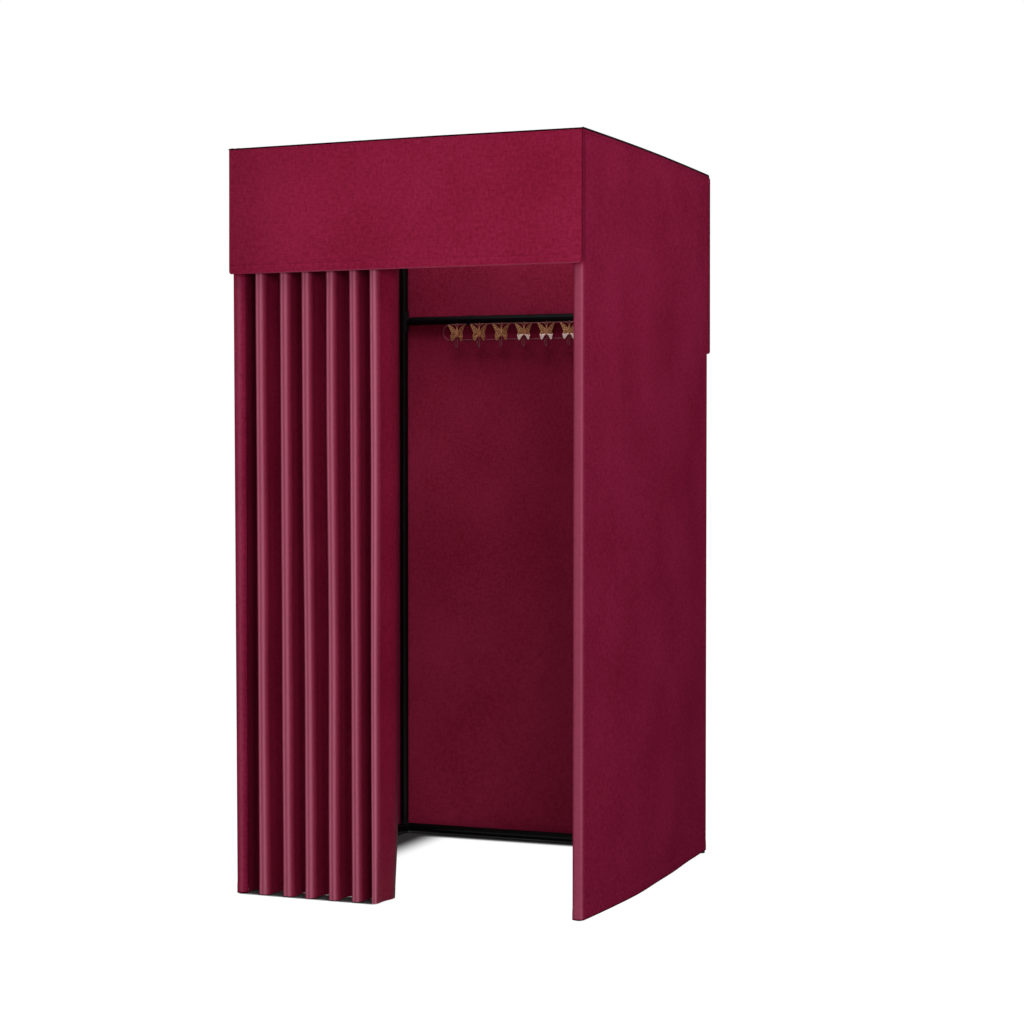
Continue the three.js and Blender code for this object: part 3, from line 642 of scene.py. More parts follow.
# Back cover: flat between the back uprights, over the back rail and down.
def addBackCover():
    half = postX - cover["endClear"]
    x = np.linspace(half, -half, cover["columns"])
    across, up, above, crown, _ = hangingRows()
    share, hanging = (x + postX) / (2 * postX), above - above[0]
    out = belly(share[None, :], above[:, None], "back") * np.maximum(across[:, None], 0)

    def face(radius):
        lifted = railZ + radius * up[:, None] + above[:, None] + hemLift(1.0, hanging)
        return grid(x, postY + radius * across[:, None] + out, lifted)

    row = np.arange(len(across) - 1)[:, None]
    inFlap = np.maximum(np.abs(x[:-1]), np.abs(x[1:])) <= postX - cover["flapClear"]
    points, faces = coverShell(face, hanging, (row < crown) | inFlap[None, :])
    uv = clothUv(lengthAlong(x, 0 * x), lengthAlong(clothOuter * across, clothOuter * up + above))
    made = addMesh("back_cover", points, faces, "cover", uv=uv)
    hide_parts("back_panel")


addSideCover("right")
addSideCover("left")
addBackCover()
print("stage: covers")


band = {
    "thick": 0.004,
    "rim": 0.0022,
    "rimShare": 0.3,
    "sway": 0.0016,
    "swayLengths": (0.30, 0.6),
    "swayBelow": 0.02,
    "columns": 150,
    "innerShare": 0.97,
    "rows": 60,
    "rowsFrom": 0.03,
    "rowsTo": 0.012,
    "corner": {"front": 0.0015, "back": 0.012},
    "seed": {"front": 21, "back": 27},
    "lowCorner": 0.007,
    "leftMore": 0.0055,
    # The next four give painted highlight along the lower edge and painted shade at the side edges.
    "paintedHighlightEdge": 0.0022,
    "paintedHighlightShare": 0.4,
    "paintedShadeEdge": 0.0045,
    "paintedShadeShare": 0.75,
    "lower": 0.003,
    "sag": 0.0043,
    "sagFrom": 0.1,
    "sagTo": -0.5,
    "sagDeep": 0.12,
    # Painted shade toward the front band's left end.
    "leftPaintedShade": 0.2,
    "leftPaintedShadeWide": 0.22,
}


# How far the front band's upper edge sags: in proportion from a little right of the middle to its left end.
def bandSag(x):
    return band["sag"] * np.clip((band["sagFrom"] - x) / (band["sagFrom"] - band["sagTo"]), 0, 1)


# A doubled band of cloth: half its thickness falls as a quarter ellipse near its edges, so that both
# faces meet in a rounded fold, and its lower part sways out a little. Its upper and lower corners are
# quarter circles. The front band also hangs a little lower, sags and is wider at the left.
def addBand(place, finish):
    low, high = span(place + "_valance")
    isFront, thick = place == "front", band["thick"]
    corner, lowCorner = band["corner"][place], band["lowCorner"]
    half = (high[0] - low[0]) / 2
    facing, front = (-1, low[1]) if isFront else (1, high[1])
    drop = high[2] - low[2] + (band["lower"] if isFront else 0)
    plain = np.linspace(band["rowsFrom"], drop - band["rowsTo"], band["rows"])
    up = np.unique(np.concatenate([hemSteps, drop - hemSteps[:5], plain]))
    z = high[2] - drop + up
    cut = np.clip(z - (high[2] - corner), 0, None)
    reach = half - corner + np.sqrt(np.clip(corner**2 - cut**2, 0, None))
    reach = reach - lowCorner + np.sqrt(lowCorner**2 - np.clip(lowCorner - up, 0, None) ** 2)
    edge, inner = hemSteps[:6] / half, band["innerShare"]
    share = np.unique(np.concatenate([edge - 1, 1 - edge, np.linspace(-inner, inner, band["columns"])]))
    x = reach[:, None] * share[None, :]
    fromEdge = np.minimum(reach[:, None] - np.abs(x), np.minimum(up, drop - up)[:, None])
    near = 1 - np.clip(fromEdge / band["rim"], 0, 1)
    dome = band["rimShare"] + (1 - band["rimShare"]) * np.sqrt(1 - near**2)
    sway = band["sway"] * (1 + ripple(x, z[:, None], band["seed"][place], *band["swayLengths"]))
    sway = sway * smoothstep(drop - up, band["swayBelow"], drop)[:, None]
    sagged = bandSag(x) * smoothstep(z, high[2] - band["sagDeep"], high[2])[:, None]
    sideways = x + band["leftMore"] * np.minimum(x / half, 0) if isFront else -x

    def face(away):
        out = away * (thick / 2 * dome - stitchDent(up)[:, None]) + sway
        return grid(sideways, front - facing * thick / 2 + facing * out, z[:, None] - isFront * sagged)

    points, faces = clothShell(face(1), face(-1))
    # Painted highlight along the lower edge, painted shade at the side edges and toward the front band's left
    # end.
    sideAway = reach[:, None] - (x if isFront else np.abs(x))
    paintedLight = band["paintedHighlightShare"] * (1 - smoothstep(up, 0, band["paintedHighlightEdge"]))[:, None]
    paintedLight = paintedLight - band["paintedShadeShare"] * (1 - smoothstep(sideAway, 0, band["paintedShadeEdge"]))
    paintedLight = paintedLight - isFront * band["leftPaintedShade"] * (1 - smoothstep(x + half, 0, band["leftPaintedShadeWide"]))
    uv = clothUv(half * share, up)
    made = addMesh(place + "_band", points, faces, finish, uv=uv, paintedLightMask=paintedLight)
    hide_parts(place + "_valance")


pocket = {"endClear": 0.024, "turnSteps": 24, "columns": 60, "gap": 0.0001}


# The front band's pocket goes round the front rail from behind, and back to the band: half a circle with a
# straight end above and below.
def addPocket():
    half = postX - pocket["endClear"]
    angles = arc(-90, 90, pocket["turnSteps"])
    bandBack = span("front_valance")[0][1] + band["thick"]
    x = np.linspace(half, -half, pocket["columns"])

    def path(radius):
        y = np.concatenate([[bandBack], -postY + radius * np.cos(angles), [bandBack]])
        z = np.concatenate([[railZ - radius], railZ + radius * np.sin(angles), [railZ + radius]])
        return y, z

    def face(radius):
        y, z = path(radius)
        points = grid(x[None, :], y[:, None], z[:, None])
        points[-1, :, 2] -= bandSag(x)
        return points

    outer = clothOuter - pocket["gap"]
    points, faces = clothShell(face(outer), face(clothOuter - cover["cloth"]))
    uv = clothUv(x, lengthAlong(*path(outer)))
    addMesh("front_band_pocket", points, faces, "cover", uv=uv)


tape = {"endClear": 0.004, "gap": 0.0003, "height": 0.040, "columns": 60, "rows": 9}


# The hook-and-loop tape that holds the back band: a flat strip that fills the gap behind it.
def addTape():
    half = postX - tape["endClear"]
    inner, outer = postY + clothOuter + tape["gap"], span("back_valance")[1][1] - band["thick"]
    x, up = np.linspace(half, -half, tape["columns"]), np.linspace(0, tape["height"], tape["rows"])
    z = railZ - tape["height"] + up
    points, faces = clothShell(*[grid(x[None, :], y, z[:, None]) for y in (outer, inner)])
    uv = clothUv(x, up + weave["plainUp"])
    addMesh("back_band_tape", points, faces, "binding", uv=uv)


crest = {
    "thick": 0.0015,
    "foot": 0.010,
    "rise": 0.0015,
    "bow": 0.0045,
    "lap": 0.0045,
    "tape": 0.0005,
    "tapeRow": 0.002,
    "corner": 0.010,
    "sink": 0.12,
    "behindBand": 0.0045,
    "gap": 0.0001,
    "fold": 0.0002,
    "edge": 0.001,
    "footShares": (1, 0.7, 0.4),
    "leanShares": (-0.5, 0.2, 0.6, 1, 1),
    "columns": (50, 12),
}


# The bound seam that stands along the top of each side: an upright strip, and a dark tape folded over its
# edge. Its height bows up by half a sine wave, and falls as a quarter circle at the back corner.
def addCrest(side):
    sign, corner = (1 if side == "right" else -1), crest["corner"]
    front, back = span("front_valance")[0][1] + crest["behindBand"], postY + clothOuter
    straight, bent = crest["columns"]
    run, bend = np.linspace(front, back - corner, straight), np.linspace(back - corner, back, bent)
    y = np.concatenate([run[:-1], bend])
    over = np.clip(y - back + corner, 0, corner)
    top = railZ + clothOuter + crest["rise"] + crest["bow"] * np.sin(math.pi * (y - front) / (back - front))
    top = top - corner + np.sqrt(corner**2 - over**2)
    top = top - bandSag(sign * postX) * (1 - smoothstep(y, front, front + crest["sink"]))
    base = railZ + clothOuter - crest["foot"]

    # Each row is so far away from the cover and so far below the top edge.
    def face(away, below):
        x = sign * (postX + clothOuter + crest["gap"] + np.array(away))
        points = grid(x[:, None], y[None, :], np.maximum(top - np.array(below)[:, None], base))
        return points[:, ::sign]

    thick, taped, lap, fold = crest["thick"], crest["tape"], crest["lap"], crest["fold"]
    foot = crest["foot"] + crest["rise"] + crest["bow"]
    rows = np.array([foot * share for share in crest["footShares"]] + [crest["edge"], fold])
    lean = thick * np.array(crest["leanShares"])
    points, faces = clothShell(face(lean, rows), face(np.minimum(lean, 0) - fold, rows))
    uv = clothUv(y, rows[::-1] + weave["plainUp"])
    addMesh("top_seam_" + side, points, faces, "side", uv=uv)
    outer = face([thick + taped] * 2 + [thick, 0] + [-taped] * 2, [lap, fold, -taped, -taped, fold, lap])
    inner = face([thick] * 3 + [0] * 3, [lap, fold, 0, 0, fold, lap])
    points, faces = clothShell(outer, inner)
    uv = clothUv(y, np.arange(6) * crest["tapeRow"] + weave["plainUp"])
    addMesh("top_binding_" + side, points, faces, "binding", uv=uv)


frontBinding = {"lap": 0.0034, "corner": 0.0008, "past": 0.0004, "thick": 0.0007, "columns": 40}


# The same binding over the front band's upper edge: up its front, over it, and down its back.
def addFrontBinding():
    low, high = span("front_valance")
    corner, past = frontBinding["corner"], frontBinding["past"]
    front, back, top, lapped = low[1], low[1] + band["thick"], high[2], high[2] - frontBinding["lap"]
    y = np.array([front, front, front + corner, back - corner, back, back])
    z = np.array([lapped, top - corner, top, top, top - corner, lapped])
    x = np.linspace(low[0] - band["leftMore"] - past, high[0] + past, frontBinding["columns"])
    across = x[:, None] * xAxis - bandSag(x)[:, None] * zAxis
    points, faces = strip(grid(0, y, z), frontBinding["thick"], across, xAxis)
    addMesh("front_band_binding", points, faces, "binding", uv=clothUv(x, lengthAlong(y, z)))


addBand("front", "band")
addBand("back", "side")
addPocket()
addTape()
addCrest("right")
addCrest("left")
addFrontBinding()
print("stage: bands")


# Each wave along a pleat's height has what is added to the seed, and its length.
curtain = {
    "cloth": 0.0014,
    "halfPitch": 0.03365,
    "front": 0.0125,
    "depth": 0.089,
    "depthAt": [0, 0.45, 0.87, 0.97, 1],
    "depthShare": [1.02, 1.0, 0.99, 0.93, 0.86],
    "frontShare": [1.06, 1.0, 1.0, 0.96, 0.9],
    "depthWave": 0.0012,
    "lean": 0.0024,
    "settle": 0.7,
    "settleFrom": 0.85,
    "breathe": 0.05,
    "bow": 0.0012,
    "drift": 0.0048,
    "foldWidth": [1.22, 1.22, 1.19, 1.19, 1.12, 1.10],
    "foldShift": [-0.0008, 0.0052, 0.0024, 0.0063, 0.0068, -0.0006],
    "seed": 40,
    "waves": {"lean": (0, 0.9), "front": (10, 0.5), "depth": (20, 0.7), "rib": (40, 0.8)},
    "ribs": 10,
    "ribHeight": 0.014,
    "ribTurn": 0.6,
    "valleySteps": 10,
    "flankSteps": 12,
    "noseSteps": 20,
    "valleyForward": 0.022,
    "forwardFrom": (1.90, 1.60),
    # Bells of painted highlight on the fold noses, and how much stronger it is on the last fold.
    "paintedLight": [(-22, 13, 0.86), (22, 14, 0.56), (6, 50, 0.3)],
    "lastPaintedHighlight": 1.22,
    "leadingBow": [0.004, 0.009],
    "leadingDrift": -0.0016,
    "leadingOut": ([0, 0.05, 0.08, 0.25, 0.93, 1], [-0.004, 0.001, 0.004, 0.0065, 0.0075, 0.002]),
    "leadingOutFrom": 0.6,
    # Painted shade toward the free edge.
    "leadingPaintedShade": 0.85,
    "leadingPaintedShadeWide": 0.026,
    "returnTouch": 14,
    "returnTurn": 0.012,
    # Painted shade all over the return.
    "returnPaintedShade": 0.4,
    "returnRows": 40,
    "returnSteps": (9, 12),
    "hemDrop": 0.0055,
    "hemWave": 0.0025,
    "hemWaveSeed": 30,
    "hemWaveLength": 0.12,
    "hemWaveReach": 0.25,
    "hemShare": 0.6,
    "dentShare": 0.7,
    "header": 0.025,
    "rows": 90,
    "rowsFrom": 0.04,
    "rowsTo": 0.03,
    "uvStep": 0.22,
}


# Half a pleat from above, from the middle of a valley to the front: a quarter turn, a flank that bows a
# little, and a quarter turn with shallow ribs. The measures are columns with one value for each height.
def halfPleat(reach, front, depth, ribTurn):
    quarter, nose = arc(90, 0, curtain["valleySteps"])[None, :], arc(180, 270, curtain["noseSteps"])[None, :]
    flank = np.linspace(0, 1, curtain["flankSteps"] + 2)[None, 1:-1]
    valley = reach - front
    bow = curtain["bow"] * np.sin(math.pi * flank)
    fade = np.sin(nose - math.pi) ** 0.5
    ribbed = front * (1 + curtain["ribHeight"] * np.cos(curtain["ribs"] * nose + ribTurn) * fade)
    x = [valley * np.cos(quarter), valley + bow, reach + ribbed * np.cos(nose)]
    y = [valley * (np.sin(quarter) - 1), -valley + (front - depth + valley) * flank,
         front - depth + ribbed * np.sin(nose)]
    return np.concatenate(x, 1), np.concatenate(y, 1)


# How far the valleys come forward of the rings: not at the header, and all the way from below it.
def valleyForward(z):
    high, low = curtain["forwardFrom"]
    return curtain["valleyForward"] * (1 - smoothstep(z, low, high))[:, None]


# The curtain's lower edge and drop over a pleat's node, and the heights of its rows, close at both ends.
def curtainRows(node, rows):
    low, high = span(node)
    bottom = low[2] - curtain["hemDrop"]
    drop = high[2] - bottom
    plain = np.linspace(curtain["rowsFrom"], drop - curtain["rowsTo"], rows)
    return bottom, drop, np.unique(np.concatenate([hemSteps, plain, drop - hemSteps[:11:2]]))


# A curtain's shell: a line from above at each height, moved both ways square to itself. In the square
# columns it is moved square to the rod, so that neighbours meet.
def curtainShell(x, y, z, half, square):
    alongX, alongY = np.gradient(x, axis=1), np.gradient(y, axis=1)
    alongY[:, square] = 0
    size = np.hypot(alongX, alongY)
    left, ahead = alongY / size, alongX / size
    return clothShell(*[grid(x - away * left, y + away * ahead, z) for away in (-half, half)])


# A pleat between two rings: two mirrored halves, whose ends stay at the rings. The last has a free edge: no
# valley, and a flank that swings out by t(1 - t)^2 near its end, whose peak is 4/27.
def addPleat(index):
    node, isLast = "curtain_pleat_%d" % index, index == pleatCount
    high = span(node)[1]
    startX, endX, valleyY = ringX[index - 1], ringX[index], rodY
    pitch = endX - startX
    bottom, drop, up = curtainRows(node, curtain["rows"])
    share, below, seed = (up / drop)[:, None], (drop - up)[:, None], curtain["seed"] + index
    wave = {key: ripple(0.0, up[:, None], seed + more, 1.0, length)
            for key, (more, length) in curtain["waves"].items()}
    front = curtain["front"] * curtain["foldWidth"][index - 1]
    front = front * np.interp(share, curtain["depthAt"], curtain["frontShare"])
    front = front * (1 + curtain["breathe"] * wave["front"])
    depth = curtain["depth"] * np.interp(share, curtain["depthAt"], curtain["depthShare"])
    depth = depth - curtain["depthWave"] * wave["depth"]
    settled = 1 - curtain["settle"] * smoothstep(share, curtain["settleFrom"], 1)
    lean = (curtain["lean"] * wave["lean"] + curtain["foldShift"][index - 1]) * settled
    ribTurn, forward = curtain["ribTurn"] * wave["rib"], valleyForward(bottom + up)
    leftX, leftY = halfPleat(curtain["halfPitch"] + lean, front, depth - forward, ribTurn)
    rightReach = pitch - curtain["halfPitch"] - lean
    rightX, rightY = halfPleat(rightReach, front, depth - forward, -ribTurn)
    leftY, rightY = leftY - forward, rightY - forward
    flankColumns = curtain["valleySteps"] + 1 + curtain["flankSteps"]
    if isLast:
        t = np.linspace(0, 1, flankColumns + 1)[None, :-1]
        bow = 27 / 4 * np.interp(share, [0, 1], curtain["leadingBow"])
        rightX[:, :flankColumns] = (rightReach - front) * t - bow * t * (1 - t) ** 2
        rightY[:, :flankColumns] = (front - depth) * t
    x = np.concatenate([leftX, pitch - rightX[:, -2::-1]], 1)
    y = np.concatenate([leftY, rightY[:, -2::-1]], 1)
    drift = curtain["drift"] * below
    if isLast:
        toEdge = x / pitch
        drift = drift + (curtain["leadingDrift"] - curtain["drift"]) * below * smoothstep(toEdge, 0, 1)
        out = np.interp(share, *curtain["leadingOut"])
        drift = drift + out * smoothstep(toEdge, curtain["leadingOutFrom"], 1)
    x = x + drift
    path = lengthAlong(x[len(up) // 2], y[len(up) // 2])
    header = smoothstep(up, drop - curtain["header"], drop - curtain["header"] + cover["hemEdge"])
    doubled = np.maximum(hemLayer(up), header)
    rise = cover["hemRise"] * curtain["hemShare"] * doubled - stitchDent(up) * curtain["dentShare"]
    uneven = ripple(path[None, :], 0.0, seed + curtain["hemWaveSeed"], curtain["hemWaveLength"], 1.0)
    uneven = curtain["hemWave"] * uneven * (1 - smoothstep(up, 0, curtain["hemWaveReach"]))[:, None]
    uneven = uneven * np.clip(np.sin(math.pi * path / path[-1]), 0, 1)[None, :] ** 0.5
    z = bottom + up[:, None] + uneven
    half = curtain["cloth"] / 2 + rise[:, None]
    points, faces = curtainShell(startX + x, valleyY + y, z, half, [0] if isLast else [0, -1])
    uv = clothUv(path + index * curtain["uvStep"], up)
    # Painted highlight on the noses; on the last pleat it is stronger, with painted shade toward the free
    # edge.
    nose, flat = np.linspace(-90, 90, 2 * curtain["noseSteps"] + 1), np.full(flankColumns, 180.0)
    paintedLight = paintedHighlightAt(np.concatenate([-flat, nose, flat]), curtain["paintedLight"])
    if isLast:
        dark = curtain["leadingPaintedShade"] * (1 - smoothstep(path[-1] - path, 0, curtain["leadingPaintedShadeWide"]))
        paintedLight = paintedLight * curtain["lastPaintedHighlight"] - dark
    paintedLight = np.broadcast_to(paintedLight, x.shape)
    name = "curtain_fold_%d" % index
    made = addMesh(name, points, faces, "curtain", body=None, uv=uv, paintedLightMask=paintedLight, sharp=50)
    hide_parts(node)
    reach = pitch / (1 + curtain["drift"] ** 2)  # square to the drifting valleys
    startX + reach
    high[2] + reach * curtain["drift"]
    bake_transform(made)


# The curtain's fixed end: it runs back from the wrapped upright, and turns through a quarter of an
# ellipse to meet the first pleat in the valley at the first ring.
def addReturn():
    bottom, drop, up = curtainRows("curtain_pleat_1", curtain["returnRows"])
    reach, touch = clothOuter + curtain["cloth"], math.radians(curtain["returnTouch"])
    startX, startY = -postX + reach * math.cos(touch), -postY + reach * math.sin(touch)
    endX = ringX[0] + curtain["drift"] * (drop - up)[:, None]
    endY, deep = rodY - valleyForward(bottom + up), curtain["returnTurn"]
    runSteps, bendSteps = curtain["returnSteps"]
    run, bend = np.linspace(0, 1, runSteps)[None, :-1], arc(0, 90, bendSteps)[None, :]
    x = np.concatenate([startX + 0 * (endX * run), startX + (endX - startX) * (1 - np.cos(bend))], 1)
    y = np.concatenate([startY + (endY - deep - startY) * run, endY - deep + deep * np.sin(bend)], 1)
    points, faces = curtainShell(x, y, bottom + up[:, None], curtain["cloth"] / 2, -1)
    uv = clothUv(lengthAlong(x[len(up) // 2], y[len(up) // 2]), up)
    # Painted shade all over the return.
    dark = np.full(x.shape, -curtain["returnPaintedShade"])
    made = addMesh("curtain_return", points, faces, "curtain", uv=uv, paintedLightMask=dark)


for index in range(1, pleatCount + 1):
    addPleat(index)
addReturn()
print("stage: curtain")


ringSizes = {
    "inner": 0.012,
    "wire": 0.0015,
    "stem": 0.0015,
    "drop": 0.011,
    "clipThick": 0.0015,
    "clipWide": 0.008,
    "clipAway": 0.0013,
    "corner": 0.0014,
    "jaw": 0.012,
    "lip": 0.0025,
    "flare": 0.0012,
    "slack": 0.0012,
}


# A ring on the rod, its stem, and the spring clip that grips the header from both sides: a strip up the
# back, over with two quarter turns, and down the front, flared at both ends.
def addRing(index):
    node, x, radius = "curtain_ring_%d" % index, ringX[index], ringSizes["inner"] + ringSizes["wire"]
    ringZ = span(node)[1][2] - radius - ringSizes["wire"]
    angle = np.linspace(0, turn, 48, endpoint=False)
    loop = grid(x, rodY + radius * np.cos(angle), ringZ + radius * np.sin(angle))
    top = ringZ - radius - ringSizes["wire"] - ringSizes["drop"]
    away, corner, flare = ringSizes["clipAway"], ringSizes["corner"], ringSizes["flare"]
    back = rodY + curtain["cloth"] / 2 + away
    front = rodY - curtain["cloth"] / 2 - ringSizes["slack"] - away
    end, bridge = top - ringSizes["jaw"], top + away
    lip, bend = end + ringSizes["lip"], arc(0, 90, 6)
    inward, upward = corner * (1 - np.cos(bend)), bridge - corner * (1 - np.sin(bend))
    y = np.concatenate([[back + flare, back], back - inward, front + inward[::-1], [front, front - flare]])
    z = np.concatenate([[end, lip], upward, upward[::-1], [lip, end]])
    stem = np.array([[x, rodY, bridge], [x, rodY, ringZ - radius]])
    across = np.array([[-0.5], [0.5]]) * ringSizes["clipWide"] * xAxis
    points, faces = together([
        roundAlong(loop, ringSizes["wire"], xAxis, 12, True),
        wire(stem, ringSizes["stem"], xAxis),
        strip(grid(x, y, z), ringSizes["clipThick"], across, xAxis),
    ])
    body = "frame" if index == 0 else "ring_%d" % index
    made = addMesh("ring_clip_%d" % index, points, faces, "zinc", body=body, welded=True)
    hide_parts(node)


for index in range(ringCount):
    addRing(index)
print("stage: rings")


pipeSizes = {"wall": 0.0012, "edge": 0.0004}


# A pipe in place of a CAD tube: outer wall, rounded ends and inner wall as one closed profile.
def addPipe(node):
    low, high = span(node)
    long = int(np.argmax(high - low))
    radius = float(np.min(high - low)) / 2
    start = (low + high) / 2
    start[long] = low[long]
    length, edge, inner = high[long] - low[long], pipeSizes["edge"], radius - pipeSizes["wall"]
    profile = [[inner, 0], [radius - edge, 0], [radius, edge], [radius, length - edge],
               [radius - edge, length], [inner, length]]
    points, faces = turned(profile, start, np.eye(3)[long], 48, True)
    made = addMesh(node + "_pipe", points, faces, "paint", welded=True)
    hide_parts(node)


for side in ("left", "right"):
    for node in ("post_front_", "post_back_", "top_rail_", "bottom_rail_"):
        addPipe(node + side)
for node in ("top_rail_front", "top_rail_back", "bottom_rail_back", "hook_bar", "curtain_rod"):
    addPipe(node)


foot = {
    "radius": 0.012,
    "height": 0.006,
    "edge": 0.0016,
    "bevel": 0.0005,
    "stem": 0.004,
    "stemBevel": 0.001,
    "hollow": 0.0004,
    "hollowWide": 0.006,
    "hollowEdge": 0.0066,
    "groove": 0.0006,
    "grooveRows": (0.0032, 0.0036, 0.0042, 0.0046),
}


# A foot: a disc with a rounded lower edge, a groove round it, and the stem that plugs into the corner.
def addFoot(place, side):
    node = "foot_%s_%s" % (place, side)
    low, high = span(node)
    start, top = (low + high) / 2, high[2]
    start[2] = low[2]
    radius, height, stem, edge, groove = [foot[key] for key in ("radius", "height", "stem", "edge", "groove")]
    bevel, stemBevel, hollow = foot["bevel"], foot["stemBevel"], foot["hollow"]
    angles = arc(-90, 0, 6)
    rounded = np.stack([radius - edge + edge * np.cos(angles), edge + edge * np.sin(angles)], -1).tolist()
    grooved = [[radius - deep, up] for deep, up in zip((0, groove, groove, 0), foot["grooveRows"])]
    profile = [[0, hollow], [foot["hollowWide"], hollow], [foot["hollowEdge"], 0]] + rounded + grooved + [
        [radius, height - bevel], [radius - bevel, height], [stem, height], [stem, top - stemBevel],
        [stem - stemBevel, top], [0, top]]
    points, faces = turned(profile, start, zAxis, 48)
    made = addMesh(node + "_pad", points, faces, "rubber", welded=True)
    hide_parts(node)


for place in ("front", "back"):
    for side in ("left", "right"):
        addFoot(place, side)
print("stage: frame")


rack = {"wire": 0.0015, "turnSteps": 24, "runSteps": 30}


# The rack's wire: two straight runs joined by half turns.
def addRackWire():
    low, high = span("rack_wire")
    middleX, middleY, middleZ = (low + high) / 2
    radius = (high - low)[2] / 2 - rack["wire"]
    straight = (high - low)[0] / 2 - rack["wire"] - radius
    bend = arc(-90, 90, rack["turnSteps"])
    run = np.linspace(-straight, straight, rack["runSteps"])[1:-1]
    out, up = straight + radius * np.cos(bend), radius * np.sin(bend)
    level = np.full(len(run), radius)
    path = grid(middleX + np.concatenate([out, run[::-1], -out, run]), middleY,
                middleZ + np.concatenate([up, level, -up, -level]))
    points, faces = roundAlong(path, rack["wire"], yAxis, 14, True)
    made = addMesh("rack_loop", points, faces, "rose", welded=True)
    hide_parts("rack_wire")


addRackWire()


# The body's segments have their depth, their turns in radians, and the share of the height that they reach.
butterfly = {
    "halfSpan": 0.027,
    "height": 0.050,
    "plate": 0.0016,
    "bevel": 0.0004,
    "cup": 0.004,
    "vein": 0.00055,
    "body": 0.0030,
    "bodyLong": 0.030,
    "bodyForward": 0.0004,
    "lower": 0.0045,
    "glintThick": 1.5,
    "girthAt": [0, 0.08, 0.3, 0.5, 0.58, 0.72, 0.84, 0.88, 0.95, 1],
    "girth": [0, 0.4, 0.72, 0.8, 0.62, 1, 0.72, 0.85, 0.7, 0],
    "segments": (0.08, 60, 0.55),
    "feeler": [(0.0, 0.028), (0.003, 0.034), (0.0066, 0.039), (0.0126, 0.0415)],
    # Butterflies whose lower wings carry the white plate of painted highlight.
    "paintedGlint": (4, 5, 6),
}
# Outlines of a right wing and of the white plate of painted highlight on its lower wing, in shares of the
# half span and the height.
wingOutline = [(0, 0.34), (0.14, 0.27), (0.34, 0.12), (0.50, 0.0), (0.64, 0.02), (0.72, 0.18),
               (0.76, 0.36), (0.66, 0.46), (0.74, 0.58), (0.86, 0.76), (1.02, 0.97), (0.99, 1.0),
               (0.80, 0.95), (0.52, 0.86), (0.22, 0.70), (0, 0.56)]
glintOutline = [(0.10, 0.28), (0.22, 0.24), (0.38, 0.11), (0.52, 0.0), (0.64, 0.02), (0.73, 0.20),
                (0.77, 0.33), (0.58, 0.30), (0.36, 0.33), (0.12, 0.34)]
# Each opening: middle across and up, half length, half width, tilt in degrees.
wingOpenings = [(0.78, 0.855, 0.14, 0.045, 44), (0.50, 0.755, 0.15, 0.050, 36), (0.66, 0.68, 0.14, 0.045, 50),
                (0.36, 0.62, 0.13, 0.042, 20), (0.46, 0.52, 0.13, 0.035, 6), (0.34, 0.40, 0.13, 0.060, -30),
                (0.60, 0.33, 0.10, 0.060, -66), (0.52, 0.14, 0.11, 0.045, -62)]
wingSize = np.array([butterfly["halfSpan"], butterfly["height"]])


# A smooth line through points: each span is a cubic whose slopes come from the neighbours.
def smoothLine(points, steps):
    points = np.array(points, float)
    padded = np.concatenate([2 * points[:1] - points[1:2], points, 2 * points[-1:] - points[-2:-1]])
    t = np.linspace(0, 1, steps, endpoint=False)[:, None]
    spans = [0.5 * (2 * b + (c - a) * t + (2 * a - 5 * b + 4 * c - d) * t**2 + (3 * b - a - 3 * c + d) * t**3)
             for a, b, c, d in zip(padded, padded[1:], padded[2:], padded[3:])]
    return np.concatenate(spans + [points[-1:]])


# A plate with openings: flat outlines filled by a curve object, thickened, and read back as arrays.
def cutPlate(outlines, thickness, bevel):
    data = bpy.data.curves.new("outline", "CURVE")
    data.dimensions = "2D"
    data.fill_mode = "BOTH"
    data.extrude = thickness / 2 - bevel
    data.bevel_depth = bevel
    data.bevel_resolution = 1
    data.offset = -bevel
    for outline in outlines:
        spline = data.splines.new("POLY")
        spline.points.add(len(outline) - 1)
        spline.points.foreach_set("co", np.pad(outline, ((0, 0), (0, 2))).ravel())
        spline.use_cyclic_u = True
    flat = addObject("outline", data)
    mesh = bpy.data.meshes.new_from_object(flat.evaluated_get(bpy.context.evaluated_depsgraph_get()))
    points = np.zeros(len(mesh.vertices) * 3)
    mesh.vertices.foreach_get("co", points)
    mesh.calc_loop_triangles()
    triangles = np.zeros(len(mesh.loop_triangles) * 3, np.int32)
    mesh.loop_triangles.foreach_get("vertices", triangles)
    bpy.data.objects.remove(flat)
    bpy.data.meshes.remove(mesh)
    return points.reshape(-1, 3), [triangles.reshape(-1, 3)]


# Plate points (across, up, thickness) to a wing: the tips come forward as the square of the distance.
def cupped(points, place, sign):
    across, up, away = points.T
    forward = away + butterfly["cup"] * (across / butterfly["halfSpan"]) ** 2
    return place + np.stack([sign * across, -forward, up], -1)


# The same plate as a right wing and, turned round, as a left one.
def bothWings(plate, place):
    points, (triangles,) = plate
    return [(cupped(points, place, sign), [triangles[:, ::sign]]) for sign in (1, -1)]


# A tilted ellipse: the cosine along its length and the sine across, turned by the tilt.
def ellipse(x, z, long, wide, tilt, steps=20):
    angle = np.linspace(0, turn, steps, endpoint=False)
    lean = math.radians(tilt)
    across, up = long * np.cos(angle), wide * np.sin(angle)
    tiltedAcross = across * math.cos(lean) - up * math.sin(lean)
    tiltedUp = across * math.sin(lean) + up * math.cos(lean)
    return np.stack([x + tiltedAcross, z + tiltedUp], -1)


